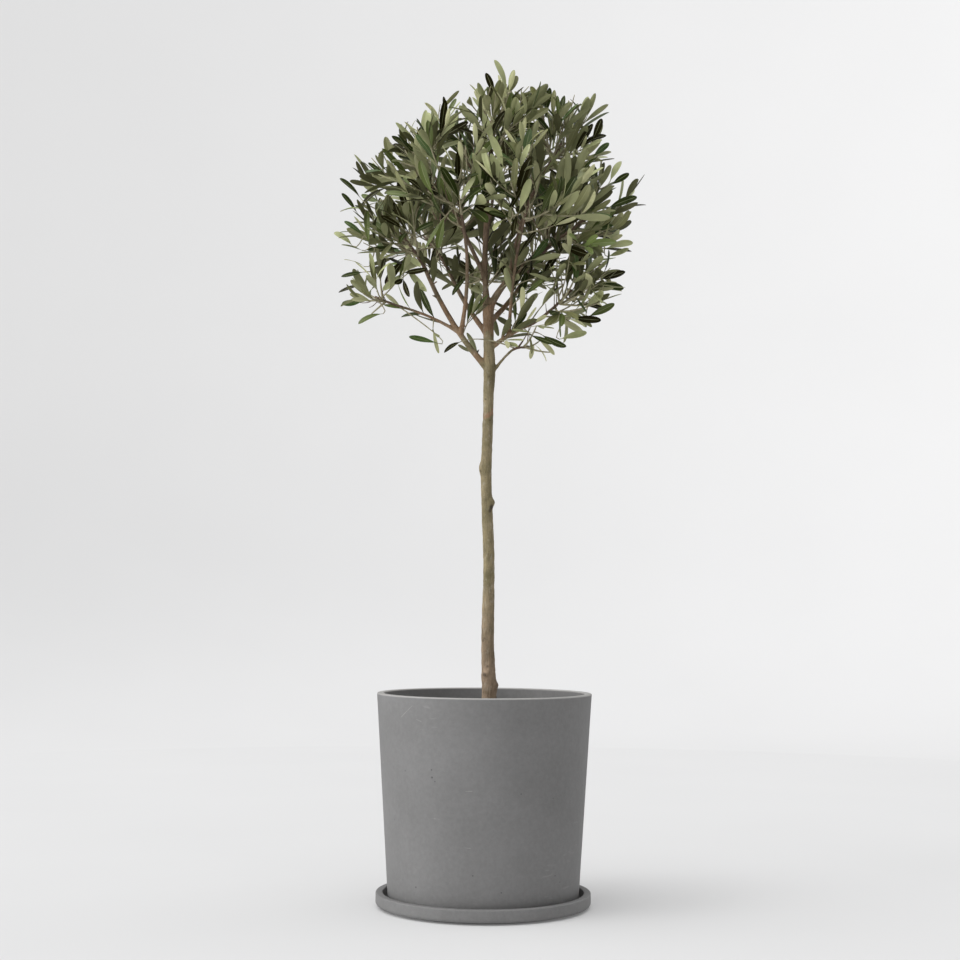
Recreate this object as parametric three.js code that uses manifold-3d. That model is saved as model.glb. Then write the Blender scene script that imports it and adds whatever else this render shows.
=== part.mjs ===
// Potted olive tree: a small standard olive with a round crown on a bare stem,
// in a tapered grey pot that stands in its saucer.
//
// Millimetres, +Z up. The origin is the centre of the saucer's flat underside,
// +X is to the right and +Y to the back of the plant.

import * as THREE from 'three';
import { mergeVertices } from 'three/addons/utils/BufferGeometryUtils.js';
import Module from 'manifold-3d';

const wasm = await Module();
wasm.setup();

// ---------------------------------------------------------------------------
// Driving dimensions
// ---------------------------------------------------------------------------

const GAP = 0.3; // clearance between neighbouring solids
const ROUND = 48; // sides of the turned pieces

const SAUCER = { radius: 149, height: 20, floor: 7, wall: 10, footRadius: 143, bevel: 4, edge: 1.5 };
const POT = { rimRadius: 150, footRadius: 132, top: 293, wall: 10, floor: 14, bevel: 3, edge: 1.5 };
const SOIL = { top: 262, shoulder: 6, flatRadius: 70 };

// The stem, from the soil to the fork: height, offset to the right, radius.
const TRUNK = [
  { height: SOIL.top + GAP, x: 7.0, radius: 13.5 },
  { height: 290, x: 6.5, radius: 10.2 },
  { height: 370, x: 4.0, radius: 8.9 },
  { height: 465, x: 5.2, radius: 8.0 },
  { height: 600, x: 0.6, radius: 7.6 },
  { height: 700, x: 2.9, radius: 7.3 },
  { height: 748, x: 4.3, radius: 8.4 },
  { height: 800, x: 2.6, radius: 7.5 },
  { height: 843, x: 1.8, radius: 8.0 },
];
const TRUNK_SIDES = 10;
const TRUNK_STEP = 30; // height between two rings

// Healed cuts on the stem: height, bearing round it, how far they stand out, half height.
const KNOTS = [
  { height: 303, bearing: 10, size: 3.0, reach: 6 },
  { height: 319, bearing: 235, size: 1.6, reach: 5 },
  { height: 560, bearing: -15, size: 4.2, reach: 6 },
  { height: 609, bearing: 185, size: 3.0, reach: 9 },
  { height: 668, bearing: 120, size: 2.2, reach: 8 },
];
const KNOT_SPREAD = 45; // half angle that a knot takes up round the stem

// Limbs: what each grows from, where it leaves it (a height on the trunk, a share of
// its length on a limb), the point it bends towards, its tip, its base and tip radius.
const LIMBS = [
  ['fork_right', 'trunk', 834, [22, 2, 880], [66, 4, 912], [5.2, 3.4]],
  ['leader', 'trunk', 836, [-9, -2, 905], [2, -12, 1014], [4.2, 2.8]],
  ['bough_left', 'trunk', 748, [-52, -4, 806], [-88, -6, 892], [4.6, 3.0]],
  ['bough_low_left', 'bough_left', 0.42, [-80, -10, 826], [-122, -14, 836], [2.4, 1.9]],
  ['bough_front_left', 'bough_left', 0.4, [-24, -20, 862], [-30, -58, 918], [3.2, 2.4]],
  ['bough_right', 'trunk', 778, [30, -4, 800], [62, -14, 812], [3.4, 2.4]],
  ['bough_front_right', 'bough_right', 0.5, [34, -18, 862], [42, -56, 908], [2.7, 2.2]],
  ['bough_low_right', 'trunk', 738, [24, -2, 768], [38, -4, 778], [2.4, 1.8]],
  ['bough_back_left', 'trunk', 798, [-34, 24, 846], [-56, 50, 902], [4.0, 2.8]],
  ['bough_back_right', 'trunk', 816, [36, 22, 850], [58, 50, 896], [4.0, 2.8]],
  ['bough_low_back', 'trunk', 768, [0, 34, 806], [-4, 52, 856], [3.0, 2.2]],
  ['bough_top_left', 'leader', 0.3, [-36, -10, 950], [-56, -14, 994], [3.2, 2.4]],
  ['bough_top_right', 'fork_right', 0.55, [44, -4, 960], [66, -8, 1004], [3.0, 2.4]],
  ['bough_top_back', 'leader', 0.42, [-2, 34, 950], [6, 54, 994], [3.0, 2.4]],
].map(([name, from, at, bend, tip, radius]) => ({ name, from, at, bend, tip, radius }));
const LIMB_SIDES = 6;
const LIMB_STEP = 20;

// Foliage: the limb that carries each mass, the centre and the half sizes of its space,
// the number of shoots on its stem and the size of its leaves.
const SEED = 61; // of the first mass's growth, and one more for each mass after it
const MASSES = [
  ['foliage_top', 'leader', [4, -34, 1088], [108, 106, 112], 6, 1],
  ['foliage_top_left', 'bough_top_left', [-94, -14, 1044], [124, 106, 108], 6, 1],
  ['foliage_top_right', 'bough_top_right', [100, -8, 1066], [104, 106, 110], 6, 1],
  ['foliage_top_back', 'bough_top_back', [6, 84, 1052], [126, 108, 114], 6, 1],
  ['foliage_left', 'bough_left', [-120, -4, 938], [108, 102, 94], 6, 1],
  ['foliage_right', 'fork_right', [134, -4, 962], [124, 104, 100], 6, 1],
  ['foliage_front_left', 'bough_front_left', [-42, -106, 974], [106, 100, 102], 7, 1],
  ['foliage_front_right', 'bough_front_right', [56, -106, 966], [106, 100, 102], 7, 1],
  ['foliage_back_left', 'bough_back_left', [-90, 92, 956], [102, 102, 100], 6, 1],
  ['foliage_back_right', 'bough_back_right', [96, 88, 950], [104, 102, 100], 6, 1],
  ['foliage_low_left', 'bough_low_left', [-154, -16, 848], [76, 68, 62], 4, 0.8],
  ['foliage_low_right', 'bough_right', [112, -20, 854], [96, 88, 76], 6, 0.85],
  ['foliage_low_shoot', 'bough_low_right', [58, -6, 780], [54, 52, 46], 3, 0.65],
  ['foliage_low_back', 'bough_low_back', [0, 98, 908], [102, 94, 92], 6, 1],
].map(([name, limb, centre, half, shoots, leaf], number) => (
  { name, limb, centre, half, shoots, leaf, seed: SEED + number }));

const STEM = { tipRadius: 2.6, sides: 5, steps: 4, run: 0.15 };
const SHOOT = { startRadius: 2.1, tipRadius: 1.6, sides: 3, steps: 3, sag: 0.14, shortest: 20 };
const PAIRS = {
  first: 8, gap: 24, bareShare: 0.2, spread: [0.62, 0.97], stray: 0.5, size: [0.85, 1.15],
};
const TIP_LEAF = { at: 0.97, spread: [0.1, 0.35], size: [0.85, 1] };
const LEAF = { length: 67, width: 22, thickness: 0.9, widest: 0.52, lift: 0.12, roll: 1.6 };

// ---------------------------------------------------------------------------
// Small helpers
// ---------------------------------------------------------------------------

const UP = new THREE.Vector3(0, 0, 1);
const vector = (point) => new THREE.Vector3(...point);

// A stream of repeatable numbers from 0 to 1.
function seeded(seed) {
  let state = seed * 7919;
  return () => {
    state = (state * 1664525 + 1013904223) % 4294967296;
    return state / 4294967296;
  };
}

// A value between two stations of a table, eased so that there is no corner.
function eased(table, height, key) {
  const last = table.length - 1;
  const found = table.findIndex((station) => station.height >= height);
  const above = Math.max(1, found < 0 ? last : found);
  const low = table[above - 1];
  const high = table[above];
  const share = THREE.MathUtils.smoothstep(height, low.height, high.height);
  return THREE.MathUtils.lerp(low[key], high[key], share);
}

function solidOf(geometry) {
  const bare = geometry.clone();
  bare.deleteAttribute('normal');
  bare.deleteAttribute('uv');
  const merged = mergeVertices(bare, 1e-4);
  const vertProperties = new Float32Array(merged.attributes.position.array);
  const triVerts = new Uint32Array(merged.index.array);
  return new wasm.Manifold(new wasm.Mesh({ numProp: 3, vertProperties, triVerts }));
}

function geometryOf(solid) {
  const { vertProperties, triVerts } = solid.getMesh();
  const geometry = new THREE.BufferGeometry();
  geometry.setAttribute('position', new THREE.BufferAttribute(new Float32Array(vertProperties), 3));
  geometry.setIndex(new THREE.BufferAttribute(new Uint32Array(triVerts), 1));
  const faceted = geometry.toNonIndexed();
  faceted.computeVertexNormals();
  return faceted;
}

// The largest body of a solid, without the scraps that a cut leaves loose.
function largest(solid) {
  return solid.decompose().sort((a, b) => b.volume() - a.volume())[0];
}

// A closed skin over a row of rings, with a flat cap at each end.
function skin(rings) {
  const sides = rings[0].length;
  const positions = [];
  const index = [];
  rings.forEach((ring) => ring.forEach((point) => positions.push(point.x, point.y, point.z)));
  for (let row = 0; row < rings.length - 1; row += 1) {
    for (let side = 0; side < sides; side += 1) {
      const next = (side + 1) % sides;
      const a = row * sides + side;
      const b = row * sides + next;
      index.push(a, b, b + sides, a, b + sides, a + sides);
    }
  }
  const top = (rings.length - 1) * sides;
  for (let side = 1; side < sides - 1; side += 1) {
    index.push(0, side + 1, side);
    index.push(top, top + side, top + side + 1);
  }
  const geometry = new THREE.BufferGeometry();
  geometry.setAttribute('position', new THREE.Float32BufferAttribute(positions, 3));
  geometry.setIndex(index);
  return geometry;
}

// A tapering branch along a curve, with flat ends.
function branch(curve, startRadius, tipRadius, sides, steps) {
  const { normals, binormals } = curve.computeFrenetFrames(steps, false);
  const rings = [];
  for (let step = 0; step <= steps; step += 1) {
    const centre = curve.getPointAt(step / steps);
    const radius = THREE.MathUtils.lerp(startRadius, tipRadius, step / steps);
    const ring = [];
    for (let side = 0; side < sides; side += 1) {
      const angle = (2 * Math.PI * side) / sides;
      const point = centre.clone();
      point.addScaledVector(normals[step], radius * Math.cos(angle));
      point.addScaledVector(binormals[step], radius * Math.sin(angle));
      ring.push(point);
    }
    rings.push(ring);
  }
  return skin(rings);
}

// ---------------------------------------------------------------------------
// Pot, saucer and soil
// ---------------------------------------------------------------------------

function turned(profile) {
  const points = profile.map(([radius, height]) => new THREE.Vector2(radius, height));
  const geometry = new THREE.LatheGeometry(points, ROUND);
  geometry.rotateX(Math.PI / 2);
  return geometry;
}

function saucerGeometry() {
  const { radius, height, floor, wall, footRadius, bevel, edge } = SAUCER;
  const inner = radius - wall;
  return turned([
    [0, 0],
    [footRadius, 0],
    [radius - edge, bevel * 0.7],
    [radius, bevel * 1.8],
    [radius, height - edge],
    [radius - edge, height],
    [inner + edge, height],
    [inner, height - edge],
    [inner - edge, floor],
    [0, floor],
  ]);
}

// The pot's foot stands on the saucer's floor.
const POT_FOOT = SAUCER.floor + GAP;

function potInnerRadius(height) {
  const share = (height - POT_FOOT) / (POT.top - POT_FOOT);
  return THREE.MathUtils.lerp(POT.footRadius, POT.rimRadius, share) - POT.wall;
}

function potGeometry() {
  const { rimRadius, footRadius, top, wall, floor, bevel, edge } = POT;
  return turned([
    [0, POT_FOOT],
    [footRadius - bevel, POT_FOOT],
    [footRadius, POT_FOOT + bevel],
    [rimRadius, top - edge],
    [rimRadius - edge, top],
    [rimRadius - wall + edge, top],
    [rimRadius - wall, top - edge],
    [potInnerRadius(POT_FOOT + floor), POT_FOOT + floor],
    [0, POT_FOOT + floor],
  ]);
}

function soilGeometry() {
  const bottom = POT_FOOT + POT.floor + GAP;
  const side = SOIL.top - SOIL.shoulder;
  return turned([
    [0, bottom],
    [potInnerRadius(bottom) - GAP, bottom],
    [potInnerRadius(side) - GAP, side],
    [SOIL.flatRadius, SOIL.top],
    [0, SOIL.top],
  ]);
}

// ---------------------------------------------------------------------------
// Trunk and limbs
// ---------------------------------------------------------------------------

function trunkCentre(height) {
  return new THREE.Vector3(eased(TRUNK, height, 'x'), 0, height);
}

// The stem's radius at a height and a bearing, with its healed cuts.
function trunkRadius(height, angle) {
  let radius = eased(TRUNK, height, 'radius');
  for (const knot of KNOTS) {
    const turn = angle - THREE.MathUtils.degToRad(knot.bearing);
    const away = THREE.MathUtils.radToDeg(Math.acos(Math.cos(turn))) / KNOT_SPREAD;
    const along = (height - knot.height) / knot.reach;
    radius += knot.size * Math.exp(-away * away - along * along);
  }
  return radius;
}

function trunkGeometry(extra = 0) {
  const foot = TRUNK[0].height;
  const top = TRUNK[TRUNK.length - 1].height;
  const steps = Math.ceil((top - foot) / TRUNK_STEP);
  const heights = KNOTS.flatMap(({ height, reach }) => [height - reach, height, height + reach]);
  for (let step = 0; step <= steps; step += 1) {
    heights.push(THREE.MathUtils.lerp(foot, top, step / steps));
  }
  heights.sort((a, b) => a - b);
  const rings = heights.map((height) => {
    const centre = trunkCentre(height);
    const ring = [];
    for (let side = 0; side < TRUNK_SIDES; side += 1) {
      const angle = (2 * Math.PI * side) / TRUNK_SIDES;
      const radius = trunkRadius(height, angle) + extra;
      const outwards = new THREE.Vector3(Math.cos(angle), Math.sin(angle), 0);
      ring.push(centre.clone().addScaledVector(outwards, radius));
    }
    return ring;
  });
  if (extra > 0) {
    rings[rings.length - 1].forEach((point) => point.addScaledVector(UP, extra));
  }
  return skin(rings);
}

const limbCurves = new Map();

function limbCurve({ name, from, at, bend, tip }) {
  if (!limbCurves.has(name)) {
    const start = from === 'trunk' ? trunkCentre(at) : limbCurves.get(from).getPoint(at);
    limbCurves.set(name, new THREE.QuadraticBezierCurve3(start, vector(bend), vector(tip)));
  }
  return limbCurves.get(name);
}

function limbGeometry(limb, extra = 0) {
  const curve = limbCurve(limb);
  const [base, tip] = limb.radius;
  return branch(curve, base + extra, tip + extra, LIMB_SIDES, Math.ceil(curve.getLength() / LIMB_STEP));
}

// Every limb is fitted against the trunk and the limbs made before it.
function makeLimbs() {
  const solids = [];
  const swollen = [solidOf(trunkGeometry(GAP))];
  for (const limb of LIMBS) {
    const cut = swollen.reduce((rest, other) => rest.subtract(other), solidOf(limbGeometry(limb)));
    solids.push(largest(cut));
    swollen.push(solidOf(limbGeometry(limb, GAP)));
  }
  return solids;
}

// ---------------------------------------------------------------------------
// Foliage: shoots that branch from one stem, with leaves in pairs
// ---------------------------------------------------------------------------

const CELL_MARGIN = 0.03; // share of a mass's half size kept clear of its neighbours
const WOOD_CLEARANCE = 1.5;
const LEAF_SPACING = 10;
const TWIG_SPACING = 6;
const REACH = [0.24, 0.46]; // where shoots end, as a share of the half size
const ROOM_BEYOND = 0.18; // share of the half size that is free beyond a shoot's aim
const CANDIDATES = 24; // aims weighed for each shoot
const FORWARD = 0.3; // how far short of its aim a shoot leaves the stem, as a share of the stem
const SHORTENED = [1, 0.85, 0.7, 0.55]; // lengths tried for a shoot
const LEAF_TRIES = 9;
const LEAF_TURN = 0.45; // turn round the shoot from one try to the next

// How far a point lies from a mass's centre, in half sizes.
function depthIn(mass, point) {
  const [x, y, z] = mass.centre;
  const [a, b, c] = mass.half;
  return Math.hypot((point.x - x) / a, (point.y - y) / b, (point.z - z) / c);
}

// A mass's space is what lies within its half sizes and nearer to it than to any other.
function inSpace(mass, point) {
  const own = depthIn(mass, point);
  const isNearest = (other) => other === mass || depthIn(other, point) > own + CELL_MARGIN;
  return own < 1 && MASSES.every(isNearest);
}

// The trunk and limbs as rows of balls that twigs and leaves keep clear of.
function ballsAlongWood(spacing = 4) {
  const balls = [];
  for (let height = TRUNK[0].height; height <= TRUNK[TRUNK.length - 1].height; height += spacing) {
    balls.push({ centre: trunkCentre(height), radius: eased(TRUNK, height, 'radius') });
  }
  for (const limb of LIMBS) {
    const curve = limbCurve(limb);
    const steps = Math.ceil(curve.getLength() / spacing);
    for (let step = 0; step <= steps; step += 1) {
      const radius = THREE.MathUtils.lerp(...limb.radius, step / steps);
      balls.push({ centre: curve.getPoint(step / steps), radius });
    }
  }
  return balls;
}

const WOOD = ballsAlongWood();

function clearOfWood(point, halfThickness) {
  const beyond = halfThickness + WOOD_CLEARANCE;
  return WOOD.every(({ centre, radius }) => centre.distanceTo(point) > radius + beyond);
}

function closest(point, others) {
  return Math.min(...others.map((other) => other.distanceTo(point)));
}

function crowds(points, others, spacing) {
  return points.some((point) => closest(point, others) < spacing);
}

// The stem goes on from its limb's tip, into the middle of the mass.
function stemOf(mass) {
  const limb = LIMBS.find(({ name }) => name === mass.limb);
  const carrier = limbCurve(limb);
  const tangent = carrier.getTangent(1);
  const start = carrier.getPoint(1).addScaledVector(tangent, GAP);
  const centre = vector(mass.centre);
  const heading = centre.clone().sub(start);
  const end = centre.clone().addScaledVector(heading, STEM.run);
  const bend = start.clone().addScaledVector(tangent, heading.length() * 0.5);
  const curve = new THREE.QuadraticBezierCurve3(start, bend, end);
  return { curve, startRadius: limb.radius[1], ...STEM };
}

// Of several aims in the mass's space, the one furthest from the twigs that stand already.
function nextAim(mass, random, standing) {
  let best = null;
  let widest = 0;
  for (let candidate = 0; candidate < CANDIDATES; candidate += 1) {
    const rise = 2 * random() - 1;
    const turn = 2 * Math.PI * random();
    const reach = THREE.MathUtils.lerp(...REACH, random());
    const ring = Math.sqrt(1 - rise * rise);
    const ray = new THREE.Vector3(ring * Math.cos(turn), ring * Math.sin(turn), rise);
    ray.multiply(vector(mass.half));
    const aim = vector(mass.centre).addScaledVector(ray, reach);
    const room = closest(aim, standing);
    if (room > widest && inSpace(mass, aim.clone().addScaledVector(ray, ROOM_BEYOND))) {
      widest = room;
      best = aim;
    }
  }
  return best;
}

// Where a shoot leaves its stem: short of the point nearest to its aim, so that it runs forward.
function leaveAt(stem, aim, steps = 20) {
  const points = stem.curve.getPoints(steps);
  const away = points.map((point) => point.distanceTo(aim));
  const nearest = away.indexOf(Math.min(...away)) / steps;
  return THREE.MathUtils.clamp(nearest - FORWARD, 0.12, 0.97);
}

// A shoot sags outwards and turns up towards its tip.
function shootCurve(start, end) {
  const sag = end.clone().sub(start).setZ(0).normalize().addScaledVector(UP, -0.6);
  const bend = start.clone().lerp(end, 0.5).addScaledVector(sag, end.distanceTo(start) * SHOOT.sag);
  return new THREE.QuadraticBezierCurve3(start, bend, end);
}

// Past its root, which may still be in a neighbour's space, a shoot keeps to its own.
function shootFits(mass, curve) {
  const points = curve.getPoints(8);
  const isClear = points.every((point) => clearOfWood(point, SHOOT.startRadius));
  return isClear && points.slice(3).every((point) => inSpace(mass, point));
}

// The stem of a mass and its shoots; a shoot that leaves the space is shortened or skipped.
function twigsOf(mass) {
  const random = seeded(mass.seed);
  const stem = stemOf(mass);
  const twigs = [stem];
  const standing = [stem.curve.getPoint(0.6), stem.curve.getPoint(0.2)];
  for (let number = 0; number < mass.shoots; number += 1) {
    const aim = nextAim(mass, random, standing);
    if (!aim) continue;
    const start = stem.curve.getPoint(leaveAt(stem, aim));
    const curves = SHORTENED.map((share) => shootCurve(start, start.clone().lerp(aim, share)));
    const curve = curves.find((one) => shootFits(mass, one));
    if (curve && curve.getLength() > SHOOT.shortest) {
      twigs.push({ curve, ...SHOOT });
      standing.push(curve.getPoint(1), curve.getPoint(0.6));
    }
  }
  return twigs;
}

const BEARING_ZERO = new THREE.Vector3(0.3, 1, 0.1); // bearings round a twig start square to this

// A leaf's frame: where it springs, which way it runs, its side and its upper face.
function leafFrame({ root, direction }, spread, bearing, roll) {
  const across = new THREE.Vector3().crossVectors(direction, BEARING_ZERO).normalize();
  across.applyAxisAngle(direction, bearing);
  const along = direction.clone().multiplyScalar(Math.cos(spread));
  along.addScaledVector(across, Math.sin(spread)).addScaledVector(UP, LEAF.lift).normalize();
  const face = direction.clone().addScaledVector(UP, 0.5);
  face.addScaledVector(along, -face.dot(along)).normalize().applyAxisAngle(along, roll);
  const side = new THREE.Vector3().crossVectors(face, along);
  return { root, along, side, face };
}

// A point on a leaf, by its share of the length and its distances to the side and upwards.
function onLeaf({ root, along, side, face, size }, share, across, lift) {
  const point = root.clone().addScaledVector(along, LEAF.length * size * share);
  return point.addScaledVector(side, across * size).addScaledVector(face, lift);
}

// The blade's half width, which grows evenly to its widest place and narrows to the tip.
function halfWidthAt(share) {
  return (LEAF.width / 2) * Math.min(share / LEAF.widest, (1 - share) / (1 - LEAF.widest));
}

// A keeled blade: a root point sunk in its twig, two edges, a keel and a tip.
function leafGeometry(leaf) {
  const corners = [
    onLeaf(leaf, 0, 0, 0),
    onLeaf(leaf, LEAF.widest, LEAF.width / 2, 0),
    onLeaf(leaf, LEAF.widest, -LEAF.width / 2, 0),
    onLeaf(leaf, LEAF.widest, 0, -2 * LEAF.thickness),
    onLeaf(leaf, 1, 0, 0),
  ];
  const geometry = new THREE.BufferGeometry();
  const positions = corners.flatMap((corner) => corner.toArray());
  geometry.setAttribute('position', new THREE.Float32BufferAttribute(positions, 3));
  geometry.setIndex([0, 2, 1, 4, 1, 2, 0, 3, 2, 4, 2, 3, 0, 1, 3, 4, 3, 1]);
  return geometry;
}

// Leaves stand in crossed pairs along each twig, with one at its tip. A leaf that would
// leave the space, touch a limb or run into another leaf is turned, or skipped.
function leavesOf(mass, twigs) {
  const random = seeded(mass.seed + 100);
  const between = ([low, high]) => THREE.MathUtils.lerp(low, high, random());
  const leaves = [];
  const blades = [new THREE.Vector3()];
  const twigPoints = twigs.flatMap(({ curve }) => curve.getPoints(20));

  const place = (node, spread, bearing, share) => {
    const size = share * mass.leaf;
    for (let attempt = 0; attempt < LEAF_TRIES; attempt += 1) {
      const turn = Math.ceil(attempt / 2) * LEAF_TURN * (attempt % 2 ? 1 : -1);
      const roll = (random() - 0.5) * LEAF.roll;
      const leaf = { ...leafFrame(node, spread, bearing + turn, roll), size };
      const blade = [0.4, 0.55, 0.7, 0.85, 1].map((part) => onLeaf(leaf, part, 0, 0));
      const outline = [0.2, 0.3, 0.4, 0.5, 0.6, 0.7, 0.8, 0.9, 1].flatMap((part) => (
        [-1, 0, 1].map((side) => onLeaf(leaf, part, side * halfWidthAt(part), 0))));
      const free = outline.every((point) => inSpace(mass, point) && clearOfWood(point, LEAF.thickness));
      if (free && !crowds(blade, blades, LEAF_SPACING) && !crowds(blade, twigPoints, TWIG_SPACING)) {
        leaves.push(leaf);
        blades.push(...blade);
        return;
      }
    }
  };

  for (const { curve } of twigs) {
    const length = curve.getLength();
    const firstBearing = 2 * Math.PI * random();
    const tip = { root: curve.getPoint(TIP_LEAF.at), direction: curve.getTangent(1) };
    place(tip, between(TIP_LEAF.spread), firstBearing, between(TIP_LEAF.size));
    const pairs = Math.floor((length * (1 - PAIRS.bareShare)) / PAIRS.gap) + 1;
    for (let pair = 0; pair < pairs; pair += 1) {
      const at = 1 - (PAIRS.first + pair * PAIRS.gap) / length;
      for (const turn of [0, Math.PI]) {
        const bearing = firstBearing + (pair * Math.PI) / 2 + turn + (random() - 0.5) * PAIRS.stray;
        const node = { root: curve.getPointAt(at), direction: curve.getTangentAt(at) };
        place(node, between(PAIRS.spread), bearing, between(PAIRS.size));
      }
    }
  }
  return leaves;
}

function makeMass(mass) {
  const twigs = twigsOf(mass);
  const leaves = leavesOf(mass, twigs);
  const wooden = twigs.map(({ curve, startRadius, tipRadius, sides, steps }) => (
    branch(curve, startRadius, tipRadius, sides, steps)));
  const pieces = [...wooden, ...leaves.map(leafGeometry)].map(solidOf);
  return largest(wasm.Manifold.union(pieces));
}

// ---------------------------------------------------------------------------
// The whole plant
// ---------------------------------------------------------------------------

const finish = (color, roughness) => new THREE.MeshStandardMaterial({ color, roughness, metalness: 0 });
const FINISHES = {
  pot: () => finish(0x77787a, 0.8),
  soil: () => finish(0x3a2c22, 1),
  bark: () => finish(0x8a7c62, 0.85),
  foliage: () => finish(0x5d6347, 0.6),
};

const plant = new THREE.Group();

function add(name, geometry, kind) {
  const mesh = new THREE.Mesh(geometry, FINISHES[kind]());
  mesh.name = name;
  plant.add(mesh);
}

add('saucer', saucerGeometry(), 'pot');
add('pot', potGeometry(), 'pot');
add('soil', soilGeometry(), 'soil');
add('trunk', trunkGeometry(), 'bark');
makeLimbs().forEach((solid, number) => add(LIMBS[number].name, geometryOf(solid), 'bark'));
MASSES.forEach((mass) => add(mass.name, geometryOf(makeMass(mass)), 'foliage'));

export default plant;
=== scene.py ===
# Looks of the potted olive tree: bark, twigs, leaves, soil, pot and saucer, built
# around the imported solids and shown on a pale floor.
#
# Growth is worked out in millimetres, as in the solids, and meshes are made in metres.
# +Z is up, +X is to the right and +Y to the back of the plant.

import math

import bpy
import numpy as np
from mathutils import Matrix, Quaternion, Vector, noise


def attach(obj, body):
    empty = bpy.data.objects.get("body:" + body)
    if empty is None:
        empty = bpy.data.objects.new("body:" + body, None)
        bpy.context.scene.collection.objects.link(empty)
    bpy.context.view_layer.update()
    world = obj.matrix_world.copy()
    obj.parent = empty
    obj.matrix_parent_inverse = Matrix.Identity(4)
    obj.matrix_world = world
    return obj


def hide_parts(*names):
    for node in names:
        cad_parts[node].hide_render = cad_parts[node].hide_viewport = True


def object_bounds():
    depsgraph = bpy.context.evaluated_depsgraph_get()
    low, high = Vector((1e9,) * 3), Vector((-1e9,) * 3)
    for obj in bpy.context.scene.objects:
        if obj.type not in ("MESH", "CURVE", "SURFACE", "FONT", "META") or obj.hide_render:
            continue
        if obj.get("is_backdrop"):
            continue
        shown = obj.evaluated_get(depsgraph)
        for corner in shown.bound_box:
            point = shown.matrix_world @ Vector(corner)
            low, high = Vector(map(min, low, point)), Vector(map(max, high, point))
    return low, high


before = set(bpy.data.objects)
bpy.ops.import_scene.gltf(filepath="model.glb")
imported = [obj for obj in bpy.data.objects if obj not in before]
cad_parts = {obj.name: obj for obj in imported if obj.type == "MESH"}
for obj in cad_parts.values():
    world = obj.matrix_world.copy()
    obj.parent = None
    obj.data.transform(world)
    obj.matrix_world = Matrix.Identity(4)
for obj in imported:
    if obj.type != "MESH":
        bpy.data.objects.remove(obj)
CAD_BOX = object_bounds()
MM = 0.001

# ---------------------------------------------------------------------------
# Driving dimensions, as in the solids
# ---------------------------------------------------------------------------

SAUCER = dict(radius=149, height=20, floor=7, wall=10, foot_radius=143, bevel=4, edge=1.5)
POT = dict(rim_radius=150, foot_radius=132, foot=7.3, top=293, wall=10, floor=14, bevel=3, edge=1.5)
SOIL = dict(top=262, shoulder=6, flat_radius=70, gap=0.3)

# The stem, from the soil to the fork: height, offset to the right, radius.
TRUNK = [
    (262.3, 7.0, 13.5),
    (290, 6.5, 10.2),
    (370, 4.0, 8.9),
    (465, 5.2, 8.0),
    (600, 0.6, 7.6),
    (700, 2.9, 7.3),
    (748, 4.3, 8.4),
    (800, 2.6, 7.5),
    (843, 1.8, 8.0),
]

# Healed cuts on the stem: height, bearing round it, how far they stand out, half height.
KNOTS = [
    (303, 10, 3.0, 6),
    (319, 235, 1.6, 5),
    (560, -15, 4.2, 6),
    (609, 185, 3.0, 9),
    (668, 120, 2.2, 8),
]
KNOT_SPREAD = 45

# Limbs: what each grows from, where it leaves it (a height on the trunk, a share of
# its length on a limb), the point it bends towards, its tip, its base and tip radius.
LIMBS = [
    ("fork_right", "trunk", 834, (22, 2, 880), (66, 4, 912), (5.2, 3.4)),
    ("leader", "trunk", 836, (-9, -2, 905), (2, -12, 1014), (4.2, 2.8)),
    ("bough_left", "trunk", 748, (-52, -4, 806), (-88, -6, 892), (4.6, 3.0)),
    ("bough_low_left", "bough_left", 0.42, (-80, -10, 826), (-122, -14, 836), (2.4, 1.9)),
    ("bough_front_left", "bough_left", 0.4, (-24, -20, 862), (-30, -58, 918), (3.2, 2.4)),
    ("bough_right", "trunk", 778, (30, -4, 800), (62, -14, 812), (3.4, 2.4)),
    ("bough_front_right", "bough_right", 0.5, (34, -18, 862), (42, -56, 908), (2.7, 2.2)),
    ("bough_low_right", "trunk", 738, (24, -2, 768), (38, -4, 778), (2.4, 1.8)),
    ("bough_back_left", "trunk", 798, (-34, 24, 846), (-56, 50, 902), (4.0, 2.8)),
    ("bough_back_right", "trunk", 816, (36, 22, 850), (58, 50, 896), (4.0, 2.8)),
    ("bough_low_back", "trunk", 768, (0, 34, 806), (-4, 52, 856), (3.0, 2.2)),
    ("bough_top_left", "leader", 0.3, (-36, -10, 950), (-56, -14, 994), (3.2, 2.4)),
    ("bough_top_right", "fork_right", 0.55, (44, -4, 960), (66, -8, 1004), (3.0, 2.4)),
    ("bough_top_back", "leader", 0.42, (-2, 34, 950), (6, 54, 994), (3.0, 2.4)),
]

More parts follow.
